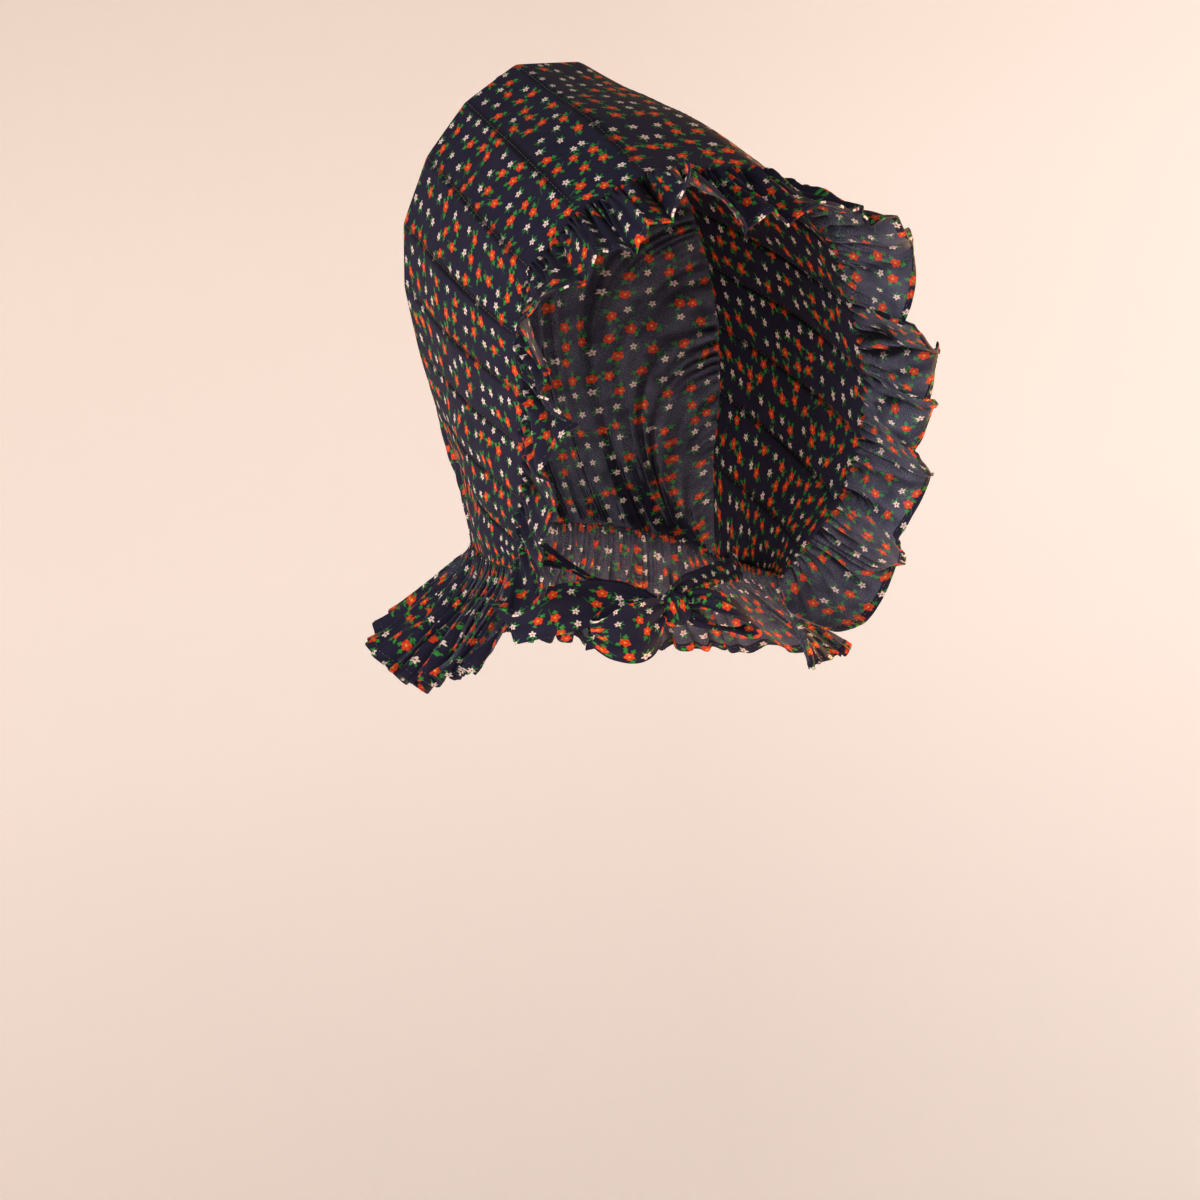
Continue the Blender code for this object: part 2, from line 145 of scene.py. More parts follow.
CURTAIN = table(
    Flare,
    ("right front", 0.0, 0.034, 0.05),
    ("right side", 0.15, 0.054, 0.062),
    ("right back", 0.33, 0.062, 0.04),
    ("nape", 0.5, 0.048, 0.054),
    ("left back", 0.67, 0.05, 0.054),
    ("left side", 0.89, 0.058, 0.042),
    ("left front", 1.0, 0.013, 0.046),
)
TIE_RIGHT = table(
    Station,
    (-0.0493, 0.05, 0.04, 0.012, 10),
    (-0.044, 0.038, 0.0335, 0.012, 40),
    (-0.03, 0.022, 0.02, 0.01, 60),
    (-0.016, 0.0125, 0.011, 0.01, 30),
    (-0.004, 0.008, 0.0035, 0.009, 0),
)
TIE_LEFT = table(
    Station,
    (0.084, 0.07, 0.013, 0.014, 10),
    (0.07, 0.05, 0.01, 0.013, 30),
    (0.045, 0.028, 0.011, 0.012, 40),
    (0.019, 0.0125, 0.009, 0.011, 30),
    (0.004, 0.008, 0.0035, 0.009, 0),
)
LOOP_RIGHT = table(
    Station,
    (-0.008, -0.0036, 0.0, 0.01, 0),
    (-0.015, -0.007, -0.002, 0.02, 4),
    (-0.027, -0.0095, -0.007, 0.028, 8),
    (-0.039, -0.0085, -0.007, 0.023, 6),
    (-0.047, -0.004, -0.0045, 0.012, 0),
    (-0.04, 0.0, -0.0045, 0.018, -2),
    (-0.028, 0.001, -0.003, 0.022, -2),
    (-0.015, 0.0, -0.001, 0.016, 0),
    (-0.008, -0.0012, 0.0, 0.009, 0),
)
LOOP_LEFT = table(
    Station,
    (0.008, -0.002, 0.0035, 0.008, 0),
    (0.015, -0.005, 0.0025, 0.011, 25),
    (0.0245, -0.0075, -0.0015, 0.013, 35),
    (0.034, -0.007, -0.0075, 0.014, 40),
    (0.04, -0.0045, -0.015, 0.013, 55),
    (0.035, -0.002, -0.017, 0.012, 70),
    (0.025, -0.001, -0.013, 0.011, 70),
    (0.015, -0.001, -0.008, 0.01, 40),
    (0.008, -0.001, -0.004, 0.007, 0),
)
TAIL_RIGHT = table(
    Station,
    (-0.008, 0.0016, 0.0, 0.008, 0),
    (-0.018, 0.0055, 0.0045, 0.016, 4),
    (-0.033, 0.0105, 0.008, 0.021, 2),
    (-0.048, 0.016, 0.008, 0.023, -4),
    (-0.061, 0.024, 0.007, 0.023, 4),
    (-0.0715, 0.0335, 0.005, 0.022, 0),
)
TAIL_LEFT = table(
    Station,
    (-0.008, 0.0042, -0.0038, 0.005, 0),
    (-0.013, 0.009, -0.005, 0.009, 5),
    (-0.0205, 0.0145, -0.006, 0.012, 0),
    (-0.028, 0.0185, -0.0065, 0.013, -5),
    (-0.035, 0.022, -0.007, 0.013, 0),
)


# The same curves as the solids
def smooth_step(value):
    value = min(max(value, 0.0), 1.0)
    return value * value * (3 - 2 * value)


def swell(waves, at):
    return sum(wave.size * math.sin(wave.speed * at + wave.start) for wave in waves)


def read_table(rows, at, column):
    for before, after in zip(rows, rows[1:]):
        if at <= after.along:
            share = smooth_step((at - before.along) / (after.along - before.along))
            first, last = getattr(before, column), getattr(after, column)
            return first + (last - first) * share
    return getattr(rows[-1], column)


def hang_left_lower(point):
    neckline = SLATS[-1]
    across = (point.x + neckline.rim_x) / (2 * neckline.rim_x)
    share = smooth_step((DROP_START - point.z) / (DROP_START - neckline.rim_z))
    drop = LEFT_DROP_TOP + (LEFT_DROP_NECK - LEFT_DROP_TOP) * share
    return Vector((point.x, point.y, point.z - drop * across))


def outward_of(point):
    share = (point.y - HUB_BACK.y) / (HUB_RIM.y - HUB_BACK.y)
    hub_z = HUB_BACK.z + (HUB_RIM.z - HUB_BACK.z) * share
    return Vector((point.x, 0.0, max(point.z - hub_z, 0.0))).normalized()


def slat_ends(index):
    count = len(SLATS)
    side = -1 if index < count else 1
    slat = SLATS[count - 1 - index] if index < count else SLATS[index - count]
    back = Vector((side * slat.back_x, slat.back_y, slat.back_z))
    rim = Vector((side * slat.rim_x, slat.rim_y, slat.rim_z))
    return back, rim


def slat_point(index, along):
    back, rim = slat_ends(index)
    point = back.lerp(rim, along)
    bow = SLAT_BOW * math.sin(math.pi * along**SLAT_BOW_SKEW)
    return point + outward_of(point) * bow


def brim_point(across, along):
    index = min(int(across), LAST_LINE - 1)
    low, high = slat_point(index, along), slat_point(index + 1, along)
    return hang_left_lower(low.lerp(high, across - index))


def even_parameters(curve, start, end, count, samples=1500):
    """Parameters that divide a curve into stretches of equal length."""
    steps = np.linspace(start, end, samples + 1)
    points = np.array([curve(step) for step in steps])
    lengths = np.concatenate([[0.0], np.cumsum(np.linalg.norm(np.diff(points, axis=0), axis=1))])
    return np.interp(np.linspace(0, lengths[-1], count), lengths, steps)


def ruffle_frame(across, length_share):
    seam = brim_point(across, 1.0)
    forward = (seam - brim_point(across, RIM_RUN_FROM)).normalized()
    outward = outward_of(seam)
    flare = math.radians(read_table(RUFFLE_LIE, length_share, "flare"))
    droop = read_table(RUFFLE_LIE, length_share, "droop")
    run = forward * math.cos(flare) + outward * math.sin(flare)
    run = (run + Vector((0.0, 0.0, -droop))).normalized()
    face = (outward - run * outward.dot(run)).normalized()
    start = seam - forward * SEAM_TUCK + outward * (BRIM_WALL / 2)
    return start, run, face, face.cross(run)


def flute_turns():
    """Where the ruffle's hem turns, and how far out it is there, from one end to the other."""
    turns = [(0.0, 0.0)]
    for flute in FLUTES:
        turns += [(flute.crest, flute.height), (flute.fold, -flute.depth)]
    return turns + [(1.0, 0.0)]


def flute_swing(length_share):
    """How far out the hem is, and how far sideways it leans there."""
    turns = flute_turns()
    for (start, first), (end, last) in zip(turns, turns[1:]):
        if length_share <= end:
            break
    share = (length_share - start) / (end - start)
    out = first + (last - first) * smooth_step(share)
    lean = FLUTE_LEAN * abs(last - first) / 2 * math.sin(2 * math.pi * share)
    return out, lean


def nape_point(turn):
    neckline = SLATS[-1]
    angle = turn * math.pi / 2
    x = neckline.back_x * math.sin(angle)
    y = neckline.back_y + NAPE_REACH * math.cos(angle)
    z = neckline.back_z + NAPE_RISE * math.cos(angle)
    return Vector((x, y, z))


def neckline_point(along):
    neckline = SLATS[-1]
    if along <= 1 or along >= 2:
        side = -1 if along <= 1 else 1
        share = along if along <= 1 else 3 - along
        rim = Vector((side * neckline.rim_x, neckline.rim_y, neckline.rim_z))
        back = Vector((side * neckline.back_x, neckline.back_y, neckline.back_z))
        return rim.lerp(back, share)
    return nape_point(2 * along - 3)


# Node helpers
class Graph:
    """Short calls for building a material's nodes."""

    def __init__(self, tree):
        self.tree = tree

    def node(self, kind):
        return self.tree.nodes.new("ShaderNode" + kind)

    def put(self, socket, value):
        if isinstance(value, bpy.types.NodeSocket):
            self.tree.links.new(value, socket)
        else:
            socket.default_value = value

    def fill(self, node, **values):
        """Set or link a node's inputs, with _ for the spaces in their names."""
        for name, value in values.items():
            self.put(node.inputs[name.replace("_", " ")], value)

    def math(self, operation, *values, clamp=False):
        node = self.node("Math")
        node.operation = operation
        node.use_clamp = clamp
        for socket, value in zip(node.inputs, values):
            self.put(socket, value)
        return node.outputs[0]

    def times(self, *values, clamp=False):
        return self.math("MULTIPLY", *values, clamp=clamp)

    def linear(self, value, slope, plus, clamp=False):
        return self.math("MULTIPLY_ADD", value, slope, plus, clamp=clamp)

    def vector(self, operation, *values):
        node = self.node("VectorMath")
        node.operation = operation
        for socket, value in zip(node.inputs, values):
            self.put(socket, value)
        return node.outputs["Value"] if operation == "LENGTH" else node.outputs["Vector"]

    def scaled(self, value, factor):
        node = self.node("VectorMath")
        node.operation = "SCALE"
        self.put(node.inputs[0], value)
        self.put(node.inputs["Scale"], factor)
        return node.outputs["Vector"]

    def split(self, value):
        node = self.node("SeparateXYZ")
        self.put(node.inputs[0], value)
        return node.outputs["X"], node.outputs["Y"], node.outputs["Z"]

    def turned(self, value, angle):
        node = self.node("VectorRotate")
        node.rotation_type = "Z_AXIS"
        self.fill(node, Vector=value, Angle=angle)
        return node.outputs[0]

    def mix(self, factor, first, second):
        node = self.node("Mix")
        node.data_type = "RGBA"
        self.fill(node, Factor=factor, A=first, B=second)
        return node.outputs["Result"]

    def noise(self, place, scale, detail=2.0, roughness=0.5, stretch=None):
        if stretch is not None:
            place = self.vector("MULTIPLY", place, stretch)
        node = self.node("TexNoise")
        self.fill(node, Vector=place, Scale=scale, Detail=detail, Roughness=roughness)
        return node.outputs["Fac"], node.outputs["Color"]

    def edge(self, inside, soft):
        """1 where inside is above 0, with an edge as wide as soft."""
        return self.linear(inside, 1.0 / soft, 0.5, clamp=True)

    def either(self, *masks):
        found = masks[0]
        for mask in masks[1:]:
            found = self.math("MAXIMUM", found, mask)
        return found

    def bump(self, shader, height, strength, distance):
        node = self.node("Bump")
        self.fill(node, Strength=strength, Distance=distance, Height=height)
        self.fill(shader, Normal=node.outputs["Normal"])


INK = (0.0115, 0.0105, 0.028, 1)
INK_WORN = (0.023, 0.022, 0.050, 1)
RED = (0.58, 0.030, 0.012, 1)
ORANGE = (0.78, 0.120, 0.018, 1)
GOLD = (0.85, 0.33, 0.04, 1)
WINE = (0.20, 0.012, 0.020, 1)
BLUSH = (0.78, 0.66, 0.62, 1)
LEAF = (0.050, 0.330, 0.050, 1)
LEAF_DARK = (0.022, 0.150, 0.030, 1)
# Near-black for the shade painted into seams, folds and gathers
PAINTED_SHADE_BLACK = (0.002, 0.002, 0.004, 1)
HAZE = (0.250, 0.275, 0.385, 1)

# A leaf of the print, in millimetres about its flower: its bearing in degrees, how far off its
# middle lies, half its length, half its width and how deeply its edge is lobed
Leaf = namedtuple("Leaf", "bearing off half_length half_width lobes")
RED_LEAVES = table(
    Leaf,
    (28, 3.6, 1.6, 1.05, 0.42),
    (155, 3.4, 1.5, 0.9, 0.42),
    (215, 3.7, 1.7, 0.8, 0.4),
)
WHITE_LEAVES = table(
    Leaf,
    (60, 2.5, 1.5, 0.48, 0.15),
    (112, 2.4, 1.3, 0.42, 0.15),
    (150, 2.4, 1.1, 0.4, 0.15),
)
PRINT_SPACING = 10.2
PRINT_LOOSENESS = 0.50


def leaf_mask(g, local, leaf):
    turned = g.turned(local, -math.radians(leaf.bearing))
    x, y, _ = g.split(turned)
    x = g.math("DIVIDE", g.math("SUBTRACT", x, leaf.off), leaf.half_length)
    lobing = g.math("COSINE", g.times(x, 5.6))
    width = g.linear(lobing, leaf.lobes * leaf.half_width, leaf.half_width)
    y = g.math("DIVIDE", y, width)
    reach = g.math("ADD", g.times(x, x), g.times(y, y))
    return g.edge(g.math("SUBTRACT", 1.0, reach), 0.35)


def petal_mask(g, radius, bearing, waist, swell_by, power):
    wave = g.math("ABSOLUTE", g.math("COSINE", g.times(bearing, 2.5)))
    wave = g.math("POWER", wave, power)
    reach = g.linear(wave, swell_by, waist)
    return g.edge(g.math("SUBTRACT", reach, radius), 0.30), wave


def calico_colour(g, place):
    """The print's colour at a place on the flat cloth, in millimetres."""
    _, drift = g.noise(place, 0.035, 1.0)
    place = g.vector("ADD", place, g.scaled(g.vector("SUBTRACT", drift, (0.5, 0.5, 0.5)), 7.0))
    cells = g.node("TexVoronoi")
    cells.voronoi_dimensions = "2D"
    g.fill(cells, Vector=place, Scale=1.0 / PRINT_SPACING, Randomness=PRINT_LOOSENESS)
    chance = g.split(cells.outputs["Color"])
    local = g.vector("SUBTRACT", place, cells.outputs["Position"])
    local = g.vector("MULTIPLY", local, (1.0, 1.0, 0.0))
    local = g.turned(local, g.times(chance[0], 2 * math.pi))
    x, y, _ = g.split(local)
    radius = g.vector("LENGTH", local)
    bearing = g.math("ARCTAN2", y, x)
    is_red = g.math("LESS_THAN", chance[1], 0.52)
    is_white = g.math("SUBTRACT", 1.0, is_red)

    blotch, _ = g.noise(place, 0.11, 3.0)
    grain, _ = g.noise(place, 1.9, 2.0)
    worn = g.linear(blotch, 0.9, -0.2, clamp=True)
    worn = g.times(worn, g.linear(grain, 0.8, 0.5))
    colour = g.mix(worn, INK, INK_WORN)

    bend = g.times(g.times(y, y), 0.16)
    stem = g.math("ABSOLUTE", g.math("SUBTRACT", x, bend))
    stem = g.edge(g.math("SUBTRACT", 0.28, stem), 0.30)
    stem = g.times(stem, g.math("GREATER_THAN", y, 2.0))
    stem = g.times(stem, g.math("LESS_THAN", y, 5.8))
    stem = g.times(stem, is_red)
    red_leaf = g.times(g.either(*[leaf_mask(g, local, leaf) for leaf in RED_LEAVES]), is_red)
    white_leaf = g.times(g.either(*[leaf_mask(g, local, leaf) for leaf in WHITE_LEAVES]), is_white)
    leaf_shade, _ = g.noise(place, 0.55, 2.0)
    green = g.mix(g.linear(leaf_shade, 2.2, -0.75, clamp=True), LEAF_DARK, LEAF)
    colour = g.mix(stem, colour, LEAF_DARK)
    colour = g.mix(g.either(red_leaf, white_leaf), colour, green)

    red_petals, red_wave = petal_mask(g, radius, bearing, 1.60, 0.95, 0.55)
    petal_shade, _ = g.noise(place, 0.9, 2.0)
    warm = g.times(g.linear(petal_shade, 2.6, -0.9, clamp=True), red_wave)
    petal = g.mix(warm, RED, ORANGE)
    heart = g.edge(g.math("SUBTRACT", 0.55, radius), 0.5)
    petal = g.mix(heart, petal, GOLD)
    colour = g.mix(g.times(red_petals, is_red), colour, petal)

    white_petals, _ = petal_mask(g, radius, bearing, 0.75, 1.20, 1.1)
    eye = g.edge(g.math("SUBTRACT", 0.42, radius), 0.25)
    blush = g.mix(eye, BLUSH, WINE)
    return g.mix(g.times(white_petals, is_white), colour, blush), grain


WEAVE_PITCH = 0.40


def cloth_height(g, place):
    """The weave, slubs and fine creases that a bump shows."""
    x, y, _ = g.split(place)
    warp = g.math("SINE", g.times(x, 2 * math.pi / WEAVE_PITCH))
    weft = g.math("SINE", g.times(y, 2 * math.pi / WEAVE_PITCH))
    weave = g.times(g.times(warp, weft), 0.030)
    slub, _ = g.noise(place, 0.9, 2.0, stretch=(0.18, 2.2, 1.0))
    crease, _ = g.noise(place, 0.16, 3.0, 0.55)
    crease = g.math("ABSOLUTE", g.math("SUBTRACT", crease, 0.5))
    height = g.linear(slub, 0.05, weave)
    return g.linear(crease, 0.9, height)


# How dark the painted shade is at the bottom of seams, folds and gathers
HOLLOW_SHADE = 0.88


def new_material(name):
    material = bpy.data.materials.new(name)
    material.use_nodes = True
    tree = material.node_tree
    return material, Graph(tree), tree.nodes["Principled BSDF"]


def make_calico(name, wrong_side):
    material, g, shader = new_material(name)
    uv = g.node("UVMap")
    uv.uv_map = "cloth"
    place = g.scaled(uv.outputs["UV"], 1000.0)
    colour, grain = calico_colour(g, place)
    # The amount of shade painted on each point, from the cloth mesh's attribute: up to 1 deep in a
    # seam or fold
    painted_shade = g.node("Attribute")
    painted_shade.attribute_name = "painted_shade"
    depth = painted_shade.outputs["Fac"]
    if wrong_side:
        speck, _ = g.noise(place, 1.9, 4.0, 0.8)
        speck = g.linear(speck, 5.2, -2.35, clamp=True)
        patch, _ = g.noise(place, 0.09, 2.0)
        speck = g.times(speck, g.linear(patch, 2.4, -0.5, clamp=True))
        red, green, _ = g.split(colour)
        motif = g.times(g.math("MAXIMUM", red, green), 3.0, clamp=True)
        haze = g.linear(speck, 0.72, 0.06)
        haze = g.times(haze, g.linear(motif, -0.70, 1.0))
        # Painted shade: the wrong side's haze fades deep in seams and folds
        haze = g.times(haze, g.linear(depth, -1.5, 1.15, clamp=True))
        colour = g.mix(haze, colour, HAZE)
    # Painted shade: near-black mixed in by how deep each point lies in a seam or fold
    colour = g.mix(g.times(depth, HOLLOW_SHADE), colour, PAINTED_SHADE_BLACK)
    g.fill(shader, Base_Color=colour, Roughness=g.linear(grain, 0.16, 0.70),
           Specular_IOR_Level=0.12, Sheen_Weight=0.10 if wrong_side else 0.035,
           Sheen_Roughness=0.45, Sheen_Tint=(0.80, 0.84, 1.0, 1))
    g.bump(shader, cloth_height(g, place), 0.55, 0.001)
    return material


def make_thread(name, colour):
    material, g, shader = new_material(name)
    place = g.node("TexCoord").outputs["Object"]
    fibre, _ = g.noise(place, 2600.0, 2.0)
    dark = tuple(0.45 * part for part in colour[:3]) + (1,)
    g.fill(shader, Base_Color=g.mix(fibre, dark, colour), Roughness=0.55, Sheen_Weight=0.3)
    g.bump(shader, fibre, 0.4, 0.0001)
    return material


FACE = make_calico("calico_face", False)
BACK = make_calico("calico_back", True)
THREAD = make_thread("thread_navy", (0.018, 0.018, 0.040, 1))
SELVEDGE = make_thread("selvedge_pale", (0.30, 0.33, 0.40, 1))


# Cloth meshes
# The rows of a grid that a turned hem takes, and how much it thickens the cloth
HEM_ROWS = 4
HEM_EXTRA = 0.00030
SELVEDGE_COLUMNS = 3
# How far the threads lie above the cloth, at a hem and along a slat line
HEM_STITCH_LIFT = 0.00006
SLAT_STITCH_LIFT = 0.00008
# Half of each cloth's thickness
RUFFLE_HALF = 0.00036
CROWN_HALF = 0.00045
CURTAIN_HALF = 0.00040


def wander(x, y, z=0.0):
    """A smooth, seeded wandering between about -1 and 1."""
    return 2 * noise.noise(Vector((x, y, z + 7.3)))


# A drift over a cloth: how fast it changes along the seam and down to the hem, its seed and its
# size
Drift = namedtuple("Drift", "along down seed size")


def drift(row, along, down):
    return row.size * wander(along * row.along, down * row.down, row.seed)


def ripple(count, along, bend):
    """A wave with that many crests along the seam, pushed along by bend."""
    return math.sin(2 * math.pi * (count * along + bend))


def grid_normals(points):
    across = np.gradient(points, axis=1)
    down = np.gradient(points, axis=0)
    normals = np.cross(across, down)
    return normals / np.linalg.norm(normals, axis=2, keepdims=True)


def path_lengths(points):
    steps = np.linalg.norm(np.diff(points, axis=0), axis=1)
    return np.concatenate([[0.0], np.cumsum(steps)])


def link_object(name, data):
    thing = bpy.data.objects.new(name, data)
    bpy.context.scene.collection.objects.link(thing)
    return thing


def tube_faces(rings, ring, base=0):
    """Quads along a tube of rings, each with that many points."""
    faces = []
    for low in range(base, base + (rings - 1) * ring, ring):
        for j in range(ring):
            k, high = (j + 1) % ring, low + ring
            faces.append((low + j, low + k, high + k, high + j))
    return faces


def add_piece(name, points, faces, materials, uv=None):
    """A smooth mesh, with uv as one place on the print for each point."""
    mesh = bpy.data.meshes.new(name)
    mesh.from_pydata(points, [], faces)
    for material in materials:
        mesh.materials.append(material)
    if uv is not None:
        loops = np.empty(len(mesh.loops), np.int32)
        mesh.loops.foreach_get("vertex_index", loops)
        mesh.uv_layers.new(name="cloth")
        mesh.uv_layers["cloth"].data.foreach_set("uv", uv[loops].astype(np.float32).ravel())
    mesh.shade_smooth()
    return link_object(name, mesh)


def stand_for(piece, node):
    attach(piece, "root")
    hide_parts(node)


def weld_strip(faces, first, second):
    """Quads between two runs of vertex numbers."""
    for a, b, c, d in zip(first[:-1], first[1:], second[1:], second[:-1]):
        faces.append((int(a), int(b), int(c), int(d)))


def lay_rows(point_of, places, rows):
    """A grid of points, row by row from the seam, and the shade to paint on each for how far it
    stands out in its gathers.
    """
    shares = np.linspace(0, 1, len(places))
    found = [[point_of(s, t, down) for s, t in zip(places, shares)] for down in rows]
    points = np.array([[point for point, _ in line] for line in found])
    return points, np.array([[gather for _, gather in line] for line in found])


def make_cloth(name, node, middle, half, uv, back, hollow_out=None, hollow_in=None,
               turned_rows=0, selvedge=0, sharp=55, flip=False):
    """A closed cloth about a middle surface, in place of a node's solid. half is half of its
    thickness and back the material of its inner side. hollow_out and hollow_in say how deep in a
    seam or fold each point of the two sides is, from 0 to 1, which is how much shade is painted
    there. turned_rows is how many rows of the hem are turned onto the inner side. flip is for a
    grid whose columns run so that its own normals point inward: they are put in reverse, and
    selvedge is how many of the first are a raw edge."""
    rows, columns = middle.shape[:2]
    hollow_out = np.zeros((rows, columns)) if hollow_out is None else hollow_out
    hollow_in = np.zeros((rows, columns)) if hollow_in is None else hollow_in
    half_in = half.copy()
    if turned_rows:
        half_in[-turned_rows:] += HEM_EXTRA
    if flip:
        grids = (middle, uv, half, half_in, hollow_out, hollow_in)
        middle, uv, half, half_in, hollow_out, hollow_in = (grid[:, ::-1] for grid in grids)
    normals = grid_normals(middle)
    outer = middle + normals * half[..., None]
    inner = middle - normals * half_in[..., None]
    count = rows * columns
    numbers = np.arange(count).reshape(rows, columns)
    a, b = numbers[:-1, :-1].ravel(), numbers[:-1, 1:].ravel()
    c, d = numbers[1:, 1:].ravel(), numbers[1:, :-1].ravel()
    outer_faces = np.stack([a, b, c, d], axis=1)
    inner_faces = np.stack([d, c, b, a], axis=1) + count
    edge_faces = []
    weld_strip(edge_faces, numbers[0][::-1], numbers[0][::-1] + count)
    weld_strip(edge_faces, numbers[-1], numbers[-1] + count)
    weld_strip(edge_faces, numbers[:, 0], numbers[:, 0] + count)
    weld_strip(edge_faces, numbers[::-1, -1], numbers[::-1, -1] + count)
    faces = np.concatenate([outer_faces, inner_faces, np.array(edge_faces)])
    slots = np.zeros(len(faces), np.int32)
    inner_slots = np.ones((rows - 1, columns - 1), np.int32)
    if turned_rows:
        inner_slots[-turned_rows:, :] = 0
    inner_slots[:, :selvedge] = 2
    slots[len(outer_faces) : len(outer_faces) + len(inner_faces)] = inner_slots.ravel()
    points = np.concatenate([outer.reshape(-1, 3), inner.reshape(-1, 3)])
    flat = np.concatenate([uv.reshape(-1, 2), uv.reshape(-1, 2)])
    materials = (FACE, back, SELVEDGE)
    cloth = add_piece(name, points.tolist(), faces.tolist(), materials, flat)
    mesh = cloth.data
    mesh.polygons.foreach_set("material_index", slots)
    # The painted shade of each point on both sides, kept as a mesh attribute for the cloth's
    # material
    painted_shade = np.concatenate([hollow_out.ravel(), hollow_in.ravel()]).clip(0, 1)
    layer = mesh.attributes.new("painted_shade", "FLOAT", "POINT")
    layer.data.foreach_set("value", painted_shade.astype(np.float32))
    mesh.set_sharp_from_angle(angle=math.radians(sharp))
    mesh.update()
    stand_for(cloth, node)
    return cloth, normals[:, ::-1] if flip else normals


STITCH_PITCH = 0.0027
STITCH_LENGTH = 0.0021
STITCH_RADIUS = 0.00021
STITCH_RING = 6
# Along a stitch, from end to end: the place and how thick the thread is there
STITCH_SHAPE = ((-0.5, 0.25), (-0.38, 0.85), (0.0, 1.0), (0.38, 0.85), (0.5, 0.25))


def place_at(length, lengths, path):
    return Vector([np.interp(length, lengths, path[:, i]) for i in range(3)])


def make_stitches(name, lines):
    """Sewn stitches that lie along lines of (points, normals), as small rounded threads."""
    points, faces = [], []
    for path, lift in lines:
        lengths = path_lengths(path)
        for k in range(int(lengths[-1] / STITCH_PITCH)):
            middle = (k + 0.5) * STITCH_PITCH
            first = place_at(middle - STITCH_LENGTH / 2, lengths, path)
            last = place_at(middle + STITCH_LENGTH / 2, lengths, path)
            up = place_at(middle, lengths, lift).normalized()
            run = (last - first).normalized()
            side = run.cross(up).normalized()
            centre = (first + last) / 2
            base = len(points)
            for share, fat in STITCH_SHAPE:
                for j in range(STITCH_RING):
                    angle = 2 * math.pi * j / STITCH_RING
                    bulge = side * math.cos(angle) + up * (0.75 * math.sin(angle))
                    sink = up * (-abs(share) ** 2 * 4 * STITCH_RADIUS)
                    at = centre + run * (share * (last - first).length) + sink
                    points.append(at + bulge * (STITCH_RADIUS * fat))
            faces += tube_faces(len(STITCH_SHAPE), STITCH_RING, base)
            faces.append(tuple(reversed(range(base, base + STITCH_RING))))
            faces.append(tuple(range(len(points) - STITCH_RING, len(points))))
    stitches = add_piece(name, points, faces, (THREAD,))
    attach(stitches, "root")
    return stitches


def make_hem_stitches(name, middle, normals, half):
    """The stitches of a turned hem, on its face and on its wrong side."""
    row = -HEM_ROWS
    face = middle[row] + normals[row] * (half + HEM_STITCH_LIFT)
    wrong = middle[row] - normals[row] * (half + HEM_EXTRA + HEM_STITCH_LIFT)
    return make_stitches(name, ((face, normals[row]), (wrong, -normals[row])))


# The brim
# Places across one slat channel, closer together at its two stitched lines
CHANNEL = (
    0.0, 0.022, 0.045, 0.075, 0.12, 0.20, 0.30, 0.40,
    0.50, 0.60, 0.70, 0.80, 0.88, 0.925, 0.955, 0.978,
)
PINCH = 0.00092
PINCH_WIDTH = 0.0011
# How wide the shade painted along each slat line is
LINE_SHADE_WIDTH = 0.0015
PILLOW = 0.00055
PUCKER = 0.00016
PUCKER_LENGTH = 0.043
PUCKER_REACH = 0.0035
HOOD_SWAY = Drift(0.55, 2.2, 3.0, 0.0010)
HOOD_CRUMPLE = Drift(1.9, 7.0, 9.0, 0.00035)
# Soft folds beside the cheek, parallel to the slats: place across, width in slats and height
Fold = namedtuple("Fold", "across width height")
CHEEK_FOLDS = (Fold(0.55, 0.16, 0.0016), Fold(1.45, 0.20, 0.0019), Fold(2.35, 0.22, 0.0013))


def brim_rows():
    ends = [0.0, 0.003, 0.007, 0.013, 0.021]
    inside = np.linspace(0.032, 0.968, 62)
    return np.concatenate([ends, inside, 1 - np.array(ends[::-1])])


